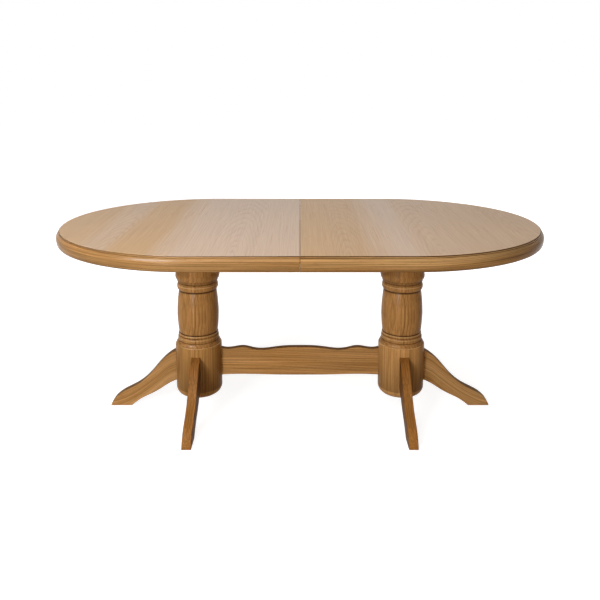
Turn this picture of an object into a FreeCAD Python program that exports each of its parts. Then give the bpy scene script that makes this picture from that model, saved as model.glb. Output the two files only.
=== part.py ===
import FreeCAD, Part
import math
import os

Vector = FreeCAD.Vector
UP = Vector(0, 0, 1)
CENTRE = Vector(0, 0, 0)

# Whole table, in millimetres. The seam between the halves lies at x = 0.
TOP_LENGTH = 1870.0
TOP_WIDTH = 1070.0
TABLE_HEIGHT = 760.0
SIDE_RUN_SHARE = 0.3957     # straight part of each half's long sides, of half the length
TIP_HALF_ANGLE = 45.0       # degrees that the arc at the tip covers to each side
TRAVEL = 225.0              # how far each half draws out
SEAM_GAP = 0.2
GLUE_LINE = 0.1             # between glued faces that are curved
CUT_OVERRUN = 5.0           # how far every cutting tool passes the face it starts from

# Veneered panel of each half
PANEL_THICKNESS = 22.0
PANEL_ARRIS = 1.5
SEAM_CHAMFER = 0.7

# Solid edge moulding, measured from the panel's edge and from the table's top
EDGE_HEIGHT = 53.0
EDGE_OVERHANG = 13.0
EDGE_SEAT = 45.0            # width of the rebate under the panel
LEDGE_DROP = 4.0
LEDGE_WIDTH = 4.0
STEP_DROP = 4.0
EDGE_QUIRK_HEIGHT = 1.4     # fine groove at the foot of the step
EDGE_QUIRK_DEPTH = 1.5
NOSE_DROP = 27.0            # depth of the widest line
FOOT_INSET = 4.0
FOOT_ROUND = 4.0

# Battens across the underside of each half, by their distance from the seam
BATTEN_WIDTH = 50.0
BATTEN_THICKNESS = 20.0
BATTEN_END_CLEARANCE = 10.0
SEAM_BATTEN_PLACE = 47.0
MIDDLE_BATTEN_PLACE = 330.0
END_BATTEN_PLACE = 640.0
BATTEN_SCREW_SHARES = (-0.85, -0.28, 0.28, 0.85)

# Tongued runners under each half and grooved rails fixed on the bearers
RUNNER_WIDTH = 28.0
RUNNER_HEIGHT = 48.0
RUNNER_OUTER_REACH = 672.0
RUNNER_TAIL = 240.0         # how far a runner passes the seam under the other half
TAIL_RELIEF = 3.0           # the tail is lower, clear of the other half's batten
TAIL_START = 15.0           # distance from the seam, on its own half, where the tail begins
TONGUE_HEIGHT = 8.0
TONGUE_DEPTH = 9.0
SLIDE_CLEARANCE = 0.3
FACE_CLEARANCE = 0.5
RAIL_EDGE_DISTANCE = 335.0  # from the table's side to the middle of a rail
RAIL_WIDTH = 34.0
RAIL_HALF_LENGTH = 540.0
DECK_CLEARANCE = 2.0        # over the rails and under the runners
RAIL_END_CHAMFER = 12.0

# Stop pins in the bearers, which run in slots under the runners
STOP_RADIUS = 5.0
STOP_RISE = 14.0
STOP_DEPTH = 22.0
STOP_SIDE_CLEARANCE = 1.0
STOP_END_CLEARANCE = 1.0
STOP_HEAD_CLEARANCE = 2.0

# Cross bearer on each column, and the tie between the rails
BEARER_SETBACK = 245.0      # from the table's side to a bearer's tip
BEARER_WIDTH = 100.0
BEARER_THICKNESS = 40.0
BEARER_TIP_THICKNESS = 20.0
BEARER_FLAT = 300.0         # length of the level part of its underside
TIE_WIDTH = 60.0
TIE_THICKNESS = 22.0

# Pedestals
PEDESTAL_PLACE = 409.0      # from the seam to each column's axis
HUB_RADIUS = 92.0
HUB_BOTTOM = 58.0
HUB_TOP = 270.0
HUB_BOTTOM_ROUND = 32.0
HUB_TOP_ROUND = 4.0
HUB_HOLLOW_RADIUS = 46.0
HUB_CEILING = 44.0

# Turned column, named from its foot up to its capital
FOOT_RADIUS = 88.0
FOOT_NECK_RADIUS = 81.0
FOOT_LIP = 3.0              # upright edge at its lower end
FOOT_HEIGHT = 14.0
FINE_GROOVE = 1.2           # height and depth of the fine grooves
QUIRK_HEIGHT = 3.0
QUIRK_DEPTH = 2.5           # under the radius of the moulding beside it
LOWER_RING_RADIUS = 81.8
LOWER_RING_EDGE_RADIUS = 79.4
LOWER_RING_HEIGHT = 19.0
BEAD_RADIUS = 79.4
BEAD_EDGE_RADIUS = 77.8
BEAD_HEIGHT = 10.0
BARREL_FOOT_RADIUS = 77.0
BARREL_RADIUS = 82.4
BARREL_NECK_RADIUS = 74.5
BARREL_WAIST_SHARE = 0.42   # height of the widest line in the barrel
UPPER_RING_RADIUS = 81.6
UPPER_RING_EDGE_RADIUS = 77.4
UPPER_RING_HEIGHT = 27.0
COLLAR_RADIUS = 79.4
COLLAR_HEIGHT = 5.0
FILLET_RADIUS = 81.0
FILLET_HEIGHT = 4.5
CAPITAL_RADIUS = 84.5
CAPITAL_HEIGHT = 94.0
CAPITAL_FOOT_RADIUS = 82.5
BOWL_RADIUS = 87.5
BOWL_HEIGHT = 26.0
BOWL_SWELL_SHARE = 0.46     # height of the widest line in the bowl
SPIGOT_RADIUS = 38.0
SPIGOT_LENGTH = 20.0
SPIGOT_END_CLEARANCE = 0.5

# Tie rod through each pedestal, with a nut and washer at both ends
ROD_RADIUS = 6.0
ROD_BORE_RADIUS = 7.0
ROD_NUT_FLATS = 19.0
ROD_NUT_HEIGHT = 10.0
ROD_WASHER_RADIUS = 14.0
ROD_WASHER_THICKNESS = 2.5
ROD_END = 4.0               # rod standing past each nut
NUT_POCKET_RADIUS = 17.0
THREAD_FIT = 0.05

# Dowels that keep bearer, column and hub from turning
COLUMN_DOWEL_RADIUS = 6.0
COLUMN_DOWEL_LENGTH = 44.0
COLUMN_DOWEL_PLACE = 60.0
DOWEL_FIT = 0.05
DOWEL_END_CLEARANCE = 1.0

# Legs: outline in shares of the reach past the hub and of the height at the hub
LEG_REACH = 360.0           # from the column's axis to the tip of the toe
LEG_HEIGHT = 236.0
LEG_THICKNESS = 35.0
LEG_ARRIS = 2.0
LEG_TOP_SHARES = ((-0.03, 1.015), (0.12, 0.911), (0.23, 0.792), (0.40, 0.564),
                  (0.585, 0.386), (0.78, 0.267), (0.925, 0.145), (1.0, 0.0))
LEG_BOTTOM_SHARES = ((0.684, 0.0), (0.609, 0.068), (0.525, 0.132), (0.381, 0.215),
                     (0.26, 0.292), (0.142, 0.382), (-0.03, 0.475))
LEG_BOLT_SHARES = (0.52, 0.74)
LEG_NUT_INSET = 36.0        # from the hub's face to the barrel nut's axis

# Stretcher between the hubs: wavy top in shares of half its length and of its height
STRETCHER_BOTTOM = 130.0
STRETCHER_HEIGHT = 118.0
STRETCHER_THICKNESS = 24.0
STRETCHER_ARRIS = 2.0
STRETCHER_TOP_SHARES = ((0.0, 1.0), (0.18, 0.99), (0.333, 0.946), (0.465, 0.903),
                        (0.596, 0.93), (0.72, 1.0), (0.858, 0.953), (1.02, 0.99))
STRETCHER_BOTTOM_SHARES = ((0.0, 0.0), (0.4, 0.008), (0.77, 0.026), (1.02, 0.0))
STRETCHER_BOLT_SHARES = (0.3, 0.68)

# Bolts with barrel nuts for the legs and the stretcher
BOLT_RADIUS = 4.0
BOLT_HEAD_RADIUS = 6.5
BOLT_HEAD_HEIGHT = 8.0
BOLT_SOCKET_FLATS = 6.0
BOLT_SOCKET_DEPTH = 4.0
BOLT_PASS = 9.0             # bolt standing past the nut's axis
BOLT_BORE_CLEARANCE = 0.5
SPOT_FACE_RADIUS = 10.0
SPOT_FACE_DEPTH = 5.0
BARREL_NUT_RADIUS = 6.0
BARREL_NUT_SHARE = 0.7      # of the thickness it lies in

# Foot glides
GLIDE_RADIUS = 11.0
GLIDE_THICKNESS = 5.0
GLIDE_PROUD = 2.0
GLIDE_PLACE_SHARE = 0.845   # along the leg's reach past the hub

# Wood screws
SCREW_RADIUS = 2.0
SCREW_HEAD_RADIUS = 4.2
SCREW_HEAD_HEIGHT = 2.6
SCREW_FIT = 0.05
SCREW_SLOT_WIDTH = 1.0
SCREW_SLOT_DEPTH = 1.2
SCREW_SLOT_LENGTH = 4.6
SCREW_POCKET_RADIUS = 5.0
BATTEN_SCREW_LENGTH = 33.0
RUNNER_SCREW_LENGTH = 32.0
RUNNER_POCKET_DEPTH = 28.0
RAIL_SCREW_LENGTH = 48.0
RAIL_POCKET_DEPTH = 22.0
RAIL_SCREW_SPREAD = 26.0    # from the bearer's middle to each of its two screws
TIE_SCREW_LENGTH = 45.0
TIE_SCREW_SPREAD = 15.0

# Dowels that line up the seam
SEAM_DOWEL_RADIUS = 5.0
SEAM_DOWEL_LENGTH = 40.0
SEAM_DOWEL_EDGE_DISTANCE = 122.0  # from the panel's edge to each outer dowel
SEAM_DOWEL_FIT = 0.3
SEAM_DOWEL_TAPER = 1.0

# Seam locks
LOCK_EDGE_DISTANCE = 147.0  # from the moulding's rebate to each lock
LOCK_PLATE_LENGTH = 44.0
LOCK_PLATE_THICKNESS = 2.0
LOCK_PLATE_WIDTH = 30.0
LOCK_PIVOT_RADIUS = 3.0
LOCK_PIVOT_FIT = 0.05
LOCK_PIVOT_INSET = 35.0     # from the seam to the pivot, and to the stud on the other side
LOCK_RIVET_RADIUS = 6.0
LOCK_RIVET_THICKNESS = 1.6
LEVER_THICKNESS = 3.0
LEVER_WIDTH = 18.0
LEVER_PLAY = 0.3
LEVER_TIP = 14.0            # lever past the stud
LEVER_THUMB_RADIUS = 11.0
NOTCH_CLEARANCE = 1.2
STUD_RADIUS = 3.0
STUD_HEAD_RADIUS = 7.0
STUD_HEAD_THICKNESS = 2.5
STUD_THREAD_RADIUS = 2.0
STUD_THREAD_LENGTH = 14.0
LOCK_SCREW_LENGTH = 15.0
LOCK_SCREW_PLACE = 15.0     # from the lock's middle to each of its two screws
STUD_SHANK_LENGTH = 9.0

# Heights that follow from the sizes above
PANEL_BOTTOM = TABLE_HEIGHT - PANEL_THICKNESS
BATTEN_BOTTOM = PANEL_BOTTOM - BATTEN_THICKNESS
RUNNER_BOTTOM = BATTEN_BOTTOM - RUNNER_HEIGHT
RAIL_TOP = BATTEN_BOTTOM - DECK_CLEARANCE
BEARER_TOP = RUNNER_BOTTOM - DECK_CLEARANCE
COLUMN_TOP = BEARER_TOP - BEARER_THICKNESS
TONGUE_MIDDLE = (BEARER_TOP + RAIL_TOP) / 2
LEVER_TOP = BATTEN_BOTTOM - LOCK_PLATE_THICKNESS - LEVER_PLAY

# Places that follow from the length and the width
HALF_WIDTH = TOP_WIDTH / 2
SIDE_RUN = SIDE_RUN_SHARE * TOP_LENGTH / 2
RAIL_PLACE = HALF_WIDTH - RAIL_EDGE_DISTANCE
BEARER_LENGTH = TOP_WIDTH - 2 * BEARER_SETBACK
SEAM_DOWEL_PLACE = HALF_WIDTH - EDGE_OVERHANG - SEAM_DOWEL_EDGE_DISTANCE
LOCK_PLACE = HALF_WIDTH - EDGE_OVERHANG - EDGE_SEAT - LOCK_EDGE_DISTANCE

# Three-centred curve of the rounded ends, to the widest line of the moulding
END_DEPTH = TOP_LENGTH / 2 - SIDE_RUN
TIP_ANGLE = math.radians(TIP_HALF_ANGLE)
RADIUS_STEP = (END_DEPTH - HALF_WIDTH) / (math.sin(TIP_ANGLE) + math.cos(TIP_ANGLE) - 1)
TIP_RADIUS = END_DEPTH - RADIUS_STEP * math.cos(TIP_ANGLE)
BEND_RADIUS = HALF_WIDTH + RADIUS_STEP * math.sin(TIP_ANGLE)
TIP_CENTRE = Vector(SIDE_RUN + END_DEPTH - TIP_RADIUS, 0, 0)
BEND_OFFSET = BEND_RADIUS - HALF_WIDTH


def polar(centre, radius, angle, height=0.0):
    """Point on a level circle."""
    return Vector(centre.x + radius * math.cos(angle), centre.y + radius * math.sin(angle), height)


def arc_between(start, stop, centre):
    """Short arc from start to stop about a centre."""
    radius = start.distanceToPoint(centre)
    lean = (start - centre) + (stop - centre)
    lean.normalize()
    return Part.Arc(start, centre + lean * radius, stop).toShape()


def arc_through(start, middle, stop):
    return Part.Arc(start, middle, stop).toShape()


def line(start, stop):
    return Part.LineSegment(start, stop).toShape()


def spline(points):
    curve = Part.BSplineCurve()
    curve.interpolate(points)
    return curve.toShape()


def run_of(start, moves):
    """Edges from a start through the moves; a move of two points is an arc through the first."""
    edges = []
    here = start
    for move in moves:
        if isinstance(move, tuple):
            edges.append(arc_through(here, move[0], move[1]))
            here = move[1]
        else:
            edges.append(line(here, move))
            here = move
    return edges


def face_of(edges):
    return Part.Face(Part.Wire(Part.__sortEdges__(edges)))


def polygon_face(points):
    return Part.Face(Part.makePolygon(points + [points[0]]))


def box_between(low, high):
    span = high - low
    return Part.makeBox(span.x, span.y, span.z, low)


def turned(edges):
    """Solid of revolution about the upright axis from edges in the x-z plane."""
    return face_of(edges).revolve(CENTRE, UP, 360)


def mirrored(shape):
    """The same piece on the other side of the seam."""
    return shape.mirror(CENTRE, Vector(1, 0, 0))


def cut_all(shape, tools):
    return shape.cut(Part.makeCompound(tools)) if tools else shape


def level_edges(shape, height):
    """Edges of a shape that lie in one level plane."""
    near = GLUE_LINE / 2
    return [e for e in shape.Edges if all(abs(v.Z - height) < near for v in e.Vertexes)]


def save(name, shapes):
    """Write one node; several solids make a group."""
    shape = Part.makeCompound(shapes) if isinstance(shapes, list) else shapes
    shape.exportStep("parts/" + name + ".step")


def bend_centre(side):
    """Centre of the arc next to the straight side; side is -1 in front and 1 behind."""
    return Vector(SIDE_RUN, -side * BEND_OFFSET, 0)


def half_chord(distance, inset):
    """Half the width of the top at a distance from the seam."""
    if distance <= SIDE_RUN:
        return HALF_WIDTH - inset
    if distance < TIP_CENTRE.x + TIP_RADIUS * math.cos(TIP_ANGLE):
        run = distance - SIDE_RUN
        return math.sqrt((BEND_RADIUS - inset) ** 2 - run ** 2) - BEND_OFFSET
    run = distance - TIP_CENTRE.x
    return math.sqrt((TIP_RADIUS - inset) ** 2 - run ** 2)


def screw(place, length, fit=0.0, slotted=True):
    """Countersunk screw driven upwards; its head's flat face lies at the given place."""
    shank = Part.makeCylinder(SCREW_RADIUS + fit, length + fit, place)
    head = Part.makeCone(SCREW_HEAD_RADIUS + fit, SCREW_RADIUS + fit, SCREW_HEAD_HEIGHT + fit, place)
    body = shank.fuse(head)
    if not slotted:
        return body
    half = SCREW_SLOT_LENGTH / 2
    width = SCREW_SLOT_WIDTH / 2
    depth = Vector(0, 0, SCREW_SLOT_DEPTH)
    along = box_between(place + Vector(-half, -width, 0), place + Vector(half, width, 0) + depth)
    across = box_between(place + Vector(-width, -half, 0), place + Vector(width, half, 0) + depth)
    return body.cut(along.fuse(across))


def screw_hole(place, length):
    return screw(place, length, SCREW_FIT, False)


def hexagon(place, flats, height, direction):
    """Six-sided prism; its axis runs from the place along the direction."""
    radius = flats / math.sqrt(3)
    corners = [polar(CENTRE, radius, math.radians(60 * i)) for i in range(6)]
    prism = polygon_face(corners).extrude(Vector(0, 0, height))
    prism.Placement = FreeCAD.Placement(place, FreeCAD.Rotation(UP, direction))
    return prism


# Top

def panel_blank():
    """Right half's panel with a softened outer edge and a fine chamfer along the seam."""
    inset = EDGE_OVERHANG
    half = HALF_WIDTH - inset
    seam = SEAM_GAP / 2
    bend = BEND_RADIUS - inset
    tip = TIP_RADIUS - inset
    front = bend_centre(-1)
    back = bend_centre(1)
    start = polar(front, bend, -math.pi / 2)
    low = polar(TIP_CENTRE, tip, -TIP_ANGLE)
    high = polar(TIP_CENTRE, tip, TIP_ANGLE)
    stop = polar(back, bend, math.pi / 2)
    edges = [line(Vector(seam, -half, 0), start),
             arc_between(start, low, front),
             arc_between(low, high, TIP_CENTRE),
             arc_between(high, stop, back),
             line(stop, Vector(seam, half, 0)),
             line(Vector(seam, half, 0), Vector(seam, -half, 0))]
    blank = face_of(edges).extrude(Vector(0, 0, PANEL_THICKNESS))
    blank.translate(Vector(0, 0, PANEL_BOTTOM))
    rim = level_edges(blank, TABLE_HEIGHT)
    at_seam = [e for e in rim if all(abs(v.X - seam) < GLUE_LINE for v in e.Vertexes)]
    blank = blank.makeChamfer(SEAM_CHAMFER, at_seam)
    outer = [e for e in level_edges(blank, TABLE_HEIGHT)
             if any(v.X > seam + PANEL_THICKNESS for v in e.Vertexes)]
    return blank.makeFillet(PANEL_ARRIS, outer)


def edge_section(point):
    """Face across the moulding; point turns distance out and height into a place."""
    ledge = TABLE_HEIGHT - LEDGE_DROP
    step = ledge - STEP_DROP
    nose = TABLE_HEIGHT - NOSE_DROP
    foot = TABLE_HEIGHT - EDGE_HEIGHT
    lower = foot + FOOT_ROUND
    foot_out = EDGE_OVERHANG - FOOT_INSET
    reach = EDGE_OVERHANG - LEDGE_WIDTH
    upper_radius = (reach ** 2 + (step - nose) ** 2) / (2 * reach)
    lower_radius = (FOOT_INSET ** 2 + (nose - lower) ** 2) / (2 * FOOT_INSET)
    widest = point(EDGE_OVERHANG, nose)
    quirk = step + EDGE_QUIRK_HEIGHT
    quirk_out = LEDGE_WIDTH - EDGE_QUIRK_DEPTH
    return face_of([
        line(point(GLUE_LINE, ledge), point(LEDGE_WIDTH, ledge)),
        line(point(LEDGE_WIDTH, ledge), point(LEDGE_WIDTH, quirk)),
        line(point(LEDGE_WIDTH, quirk), point(quirk_out, quirk)),
        line(point(quirk_out, quirk), point(quirk_out, step)),
        line(point(quirk_out, step), point(LEDGE_WIDTH, step)),
        arc_between(point(LEDGE_WIDTH, step), widest, point(EDGE_OVERHANG - upper_radius, nose)),
        arc_between(widest, point(foot_out, lower), point(EDGE_OVERHANG - lower_radius, nose)),
        arc_between(point(foot_out, lower), point(foot_out - FOOT_ROUND, foot),
                    point(foot_out - FOOT_ROUND, lower)),
        line(point(foot_out - FOOT_ROUND, foot), point(-EDGE_SEAT, foot)),
        line(point(-EDGE_SEAT, foot), point(-EDGE_SEAT, PANEL_BOTTOM)),
        line(point(-EDGE_SEAT, PANEL_BOTTOM), point(GLUE_LINE, PANEL_BOTTOM)),
        line(point(GLUE_LINE, PANEL_BOTTOM), point(GLUE_LINE, ledge))])


def straight_edge(side):
    """Moulding along the straight side of the right half."""
    start = SEAM_GAP / 2
    rim = HALF_WIDTH - EDGE_OVERHANG
    section = edge_section(lambda out, height: Vector(start, side * (rim + out), height))
    return section.extrude(Vector(SIDE_RUN - start, 0, 0))


def curved_edge(centre, radius, start, stop):
    """Moulding round an arc of the right half, between two angles."""
    rim = radius - EDGE_OVERHANG
    section = edge_section(lambda out, height: polar(centre, rim + out, start, height))
    return section.revolve(centre, UP, math.degrees(stop - start))


def edge_pieces():
    quarter = math.pi / 2
    return {"front": straight_edge(-1),
            "front_bend": curved_edge(bend_centre(-1), BEND_RADIUS, -quarter, -TIP_ANGLE),
            "end": curved_edge(TIP_CENTRE, TIP_RADIUS, -TIP_ANGLE, TIP_ANGLE),
            "back_bend": curved_edge(bend_centre(1), BEND_RADIUS, TIP_ANGLE, quarter),
            "back": straight_edge(1)}


def batten_span(distance):
    """Half the length of a batten that fits between the rebates at its far side."""
    far = distance + BATTEN_WIDTH / 2
    return half_chord(far, EDGE_OVERHANG + EDGE_SEAT) - BATTEN_END_CLEARANCE


def batten_screw_places(distance):
    span = batten_span(distance)
    return [Vector(distance, share * span, BATTEN_BOTTOM) for share in BATTEN_SCREW_SHARES]


def batten_blank(distance):
    half = BATTEN_WIDTH / 2
    span = batten_span(distance)
    return box_between(Vector(distance - half, -span, BATTEN_BOTTOM),
                       Vector(distance + half, span, PANEL_BOTTOM))


def runner_screw_places(middle):
    """Heads of the screws that hold one runner of the right half to its battens."""
    seat = RUNNER_BOTTOM + RUNNER_POCKET_DEPTH
    return [Vector(distance, middle, seat)
            for distance in (SEAM_BATTEN_PLACE, MIDDLE_BATTEN_PLACE, END_BATTEN_PLACE)]


def runner(middle, tongue_side):
    """Runner of the right half: bar with a tongue, a lowered tail and a stop slot."""
    half = RUNNER_WIDTH / 2
    tail_top = BATTEN_BOTTOM - TAIL_RELIEF
    bar = box_between(Vector(TAIL_START, middle - half, RUNNER_BOTTOM),
                      Vector(RUNNER_OUTER_REACH, middle + half, BATTEN_BOTTOM))
    tail = box_between(Vector(-RUNNER_TAIL, middle - half, RUNNER_BOTTOM),
                       Vector(TAIL_START, middle + half, tail_top))
    face = middle + tongue_side * half
    sides = sorted((face, face + tongue_side * TONGUE_DEPTH))
    tongue = box_between(Vector(-RUNNER_TAIL, sides[0], TONGUE_MIDDLE - TONGUE_HEIGHT / 2),
                         Vector(RUNNER_OUTER_REACH, sides[1], TONGUE_MIDDLE + TONGUE_HEIGHT / 2))
    shape = bar.fuse(tail).fuse(tongue).removeSplitter()
    slot_half = STOP_RADIUS + STOP_SIDE_CLEARANCE
    slot_end = STOP_RADIUS + STOP_END_CLEARANCE
    slot_top = BEARER_TOP + STOP_RISE + STOP_HEAD_CLEARANCE
    slot = box_between(
        Vector(PEDESTAL_PLACE - TRAVEL - slot_end, middle - slot_half, RUNNER_BOTTOM - CUT_OVERRUN),
        Vector(PEDESTAL_PLACE + slot_end, middle + slot_half, slot_top))
    tools = [slot]
    for place in runner_screw_places(middle):
        floor = Vector(place.x, place.y, RUNNER_BOTTOM - CUT_OVERRUN)
        tools.append(Part.makeCylinder(SCREW_POCKET_RADIUS, place.z - floor.z, floor))
        tools.append(screw_hole(place, RUNNER_SCREW_LENGTH))
    return cut_all(shape, tools)


def seam_dowel_places():
    middle = TABLE_HEIGHT - PANEL_THICKNESS / 2
    return [Vector(0, y, middle) for y in (-SEAM_DOWEL_PLACE, 0, SEAM_DOWEL_PLACE)]


def seam_dowel(place):
    """Dowel across the seam with tapered ends."""
    reach = SEAM_DOWEL_LENGTH / 2
    rod = Part.makeCylinder(SEAM_DOWEL_RADIUS, SEAM_DOWEL_LENGTH,
                            place - Vector(reach, 0, 0), Vector(1, 0, 0))
    rims = [e for e in rod.Edges if len(e.Vertexes) == 1]
    return rod.makeChamfer(SEAM_DOWEL_TAPER, rims)


def seam_dowel_hole(place, fit):
    """Hole to both sides of the seam for one dowel."""
    reach = SEAM_DOWEL_LENGTH / 2 + DOWEL_END_CLEARANCE
    return Part.makeCylinder(SEAM_DOWEL_RADIUS + fit, 2 * reach,
                             place - Vector(reach, 0, 0), Vector(1, 0, 0))


# Seam locks: plates, levers and screws on the left half, studs on the right half

def lock_plate(side):
    """Plate with a riveted pivot, under the left half's batten next to the seam."""
    half = LOCK_PLATE_LENGTH / 2
    width = LOCK_PLATE_WIDTH / 2
    pivot = Vector(-LOCK_PIVOT_INSET, side * LOCK_PLACE, BATTEN_BOTTOM)
    plate = box_between(pivot + Vector(-width, -half, -LOCK_PLATE_THICKNESS),
                        pivot + Vector(width, half, 0))
    drop = LOCK_PLATE_THICKNESS + LEVER_THICKNESS + 2 * LEVER_PLAY
    pin = Part.makeCylinder(LOCK_PIVOT_RADIUS, drop, pivot - Vector(0, 0, drop))
    rivet = Part.makeCylinder(LOCK_RIVET_RADIUS, LOCK_RIVET_THICKNESS,
                              pivot - Vector(0, 0, drop + LOCK_RIVET_THICKNESS))
    shape = plate.fuse(pin).fuse(rivet).removeSplitter()
    return cut_all(shape, [screw_hole(p, LOCK_SCREW_LENGTH) for p in lock_screw_places(side)])


def lock_screw_places(side):
    height = BATTEN_BOTTOM - LOCK_PLATE_THICKNESS
    spots = [side * LOCK_PLACE + offset for offset in (-LOCK_SCREW_PLACE, LOCK_SCREW_PLACE)]
    return [Vector(-LOCK_PIVOT_INSET, y, height) for y in spots]


def lock_lever(side):
    """Lever at rest, pointing away from the centre line along the batten."""
    arm = 2 * LOCK_PIVOT_INSET
    half = LEVER_WIDTH / 2
    bar = box_between(Vector(0, -half, 0), Vector(arm + LEVER_TIP, half, LEVER_THICKNESS))
    eye = Part.makeCylinder(half, LEVER_THICKNESS)
    thumb = Part.makeCylinder(LEVER_THUMB_RADIUS, LEVER_THICKNESS, Vector(arm + LEVER_TIP, 0, 0))
    gap = STUD_RADIUS + NOTCH_CLEARANCE
    notch = box_between(Vector(arm - gap, 0, -CUT_OVERRUN),
                        Vector(arm + gap, half + CUT_OVERRUN, LEVER_THICKNESS + CUT_OVERRUN))
    depth = LEVER_THICKNESS + 2 * CUT_OVERRUN
    seat = Part.makeCylinder(gap, depth, Vector(arm, 0, -CUT_OVERRUN))
    bore = Part.makeCylinder(LOCK_PIVOT_RADIUS + LOCK_PIVOT_FIT, depth, Vector(0, 0, -CUT_OVERRUN))
    lever = bar.fuse(eye).fuse(thumb).removeSplitter()
    lever = cut_all(lever, [notch.fuse(seat), bore])
    if side > 0:
        lever = lever.mirror(CENTRE, Vector(0, 1, 0))
    lever.rotate(CENTRE, UP, side * 90)
    lever.translate(Vector(-LOCK_PIVOT_INSET, side * LOCK_PLACE, LEVER_TOP - LEVER_THICKNESS))
    return lever


def lock_stud(side, fit=0.0):
    """Shouldered screw that the lever catches, under the right half's batten."""
    seat = Vector(LOCK_PIVOT_INSET, side * LOCK_PLACE, BATTEN_BOTTOM)
    low = seat - Vector(0, 0, STUD_SHANK_LENGTH)
    shank = Part.makeCylinder(STUD_RADIUS, STUD_SHANK_LENGTH, low)
    head = Part.makeCylinder(STUD_HEAD_RADIUS, STUD_HEAD_THICKNESS,
                             low - Vector(0, 0, STUD_HEAD_THICKNESS))
    thread = Part.makeCylinder(STUD_THREAD_RADIUS + fit, STUD_THREAD_LENGTH + fit, seat)
    return shank.fuse(head).fuse(thread).removeSplitter()


# Fixed frame on the pedestals

def rail_screw_places():
    seat = COLUMN_TOP + RAIL_POCKET_DEPTH
    return [Vector(sx * PEDESTAL_PLACE + offset, sy * RAIL_PLACE, seat)
            for sx in (-1, 1) for sy in (-1, 1) for offset in (-RAIL_SCREW_SPREAD, RAIL_SCREW_SPREAD)]


def tie_screw_places():
    seat = BEARER_TOP - TIE_THICKNESS
    return [Vector(offset, sy * RAIL_PLACE, seat)
            for sy in (-1, 1) for offset in (-TIE_SCREW_SPREAD, TIE_SCREW_SPREAD)]


def rail(side):
    """Fixed rail, grooved along both sides, with chamfered lower end corners."""
    half = RAIL_WIDTH / 2
    length = RAIL_HALF_LENGTH
    outline = [Vector(-length, 0, BEARER_TOP + RAIL_END_CHAMFER),
               Vector(-length + RAIL_END_CHAMFER, 0, BEARER_TOP),
               Vector(length - RAIL_END_CHAMFER, 0, BEARER_TOP),
               Vector(length, 0, BEARER_TOP + RAIL_END_CHAMFER),
               Vector(length, 0, RAIL_TOP),
               Vector(-length, 0, RAIL_TOP)]
    bar = polygon_face(outline).extrude(Vector(0, RAIL_WIDTH, 0))
    bar.translate(Vector(0, side * RAIL_PLACE - half, 0))
    groove_half = TONGUE_HEIGHT / 2 + SLIDE_CLEARANCE
    depth = TONGUE_DEPTH - FACE_CLEARANCE + SLIDE_CLEARANCE
    tools = []
    for flank in (-1, 1):
        face = side * RAIL_PLACE + flank * half
        sides = sorted((face - flank * depth, face + flank * CUT_OVERRUN))
        tools.append(box_between(
            Vector(-length - CUT_OVERRUN, sides[0], TONGUE_MIDDLE - groove_half),
            Vector(length + CUT_OVERRUN, sides[1], TONGUE_MIDDLE + groove_half)))
    tools += [screw_hole(p, RAIL_SCREW_LENGTH) for p in rail_screw_places() if p.y * side > 0]
    tools += [screw_hole(p, TIE_SCREW_LENGTH) for p in tie_screw_places() if p.y * side > 0]
    return cut_all(bar, tools)


def centre_tie():
    """Board under the rails that keeps them parallel."""
    half = TIE_WIDTH / 2
    span = RAIL_PLACE + RAIL_WIDTH / 2
    board = box_between(Vector(-half, -span, BEARER_TOP - TIE_THICKNESS), Vector(half, span, BEARER_TOP))
    return cut_all(board, [screw_hole(p, TIE_SCREW_LENGTH) for p in tie_screw_places()])


def runner_middle(half_side):
    """Distance of a half's runners from the centre line: left ones outside, right ones inside."""
    gap = RAIL_WIDTH / 2 + FACE_CLEARANCE + RUNNER_WIDTH / 2
    return RAIL_PLACE - half_side * gap


def stop_places(half_side):
    spots = [sy * runner_middle(half_side) for sy in (-1, 1)]
    return [Vector(half_side * PEDESTAL_PLACE, y, BEARER_TOP - STOP_DEPTH) for y in spots]


def stop_pin(place, fit=0.0):
    return Part.makeCylinder(STOP_RADIUS + fit, STOP_DEPTH + STOP_RISE, place)


def column_dowel_places(height):
    """Two dowels across a joint of the pedestal at the given height, about the axis."""
    low = height - COLUMN_DOWEL_LENGTH / 2
    return [Vector(0, sy * COLUMN_DOWEL_PLACE, low) for sy in (-1, 1)]


def column_dowel(place):
    return Part.makeCylinder(COLUMN_DOWEL_RADIUS, COLUMN_DOWEL_LENGTH, place)


def column_dowel_hole(place):
    low = place - Vector(0, 0, DOWEL_END_CLEARANCE)
    depth = COLUMN_DOWEL_LENGTH + 2 * DOWEL_END_CLEARANCE
    return Part.makeCylinder(COLUMN_DOWEL_RADIUS + DOWEL_FIT, depth, low)


def rod_hole():
    return Part.makeCylinder(ROD_BORE_RADIUS, TABLE_HEIGHT, CENTRE)


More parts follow.
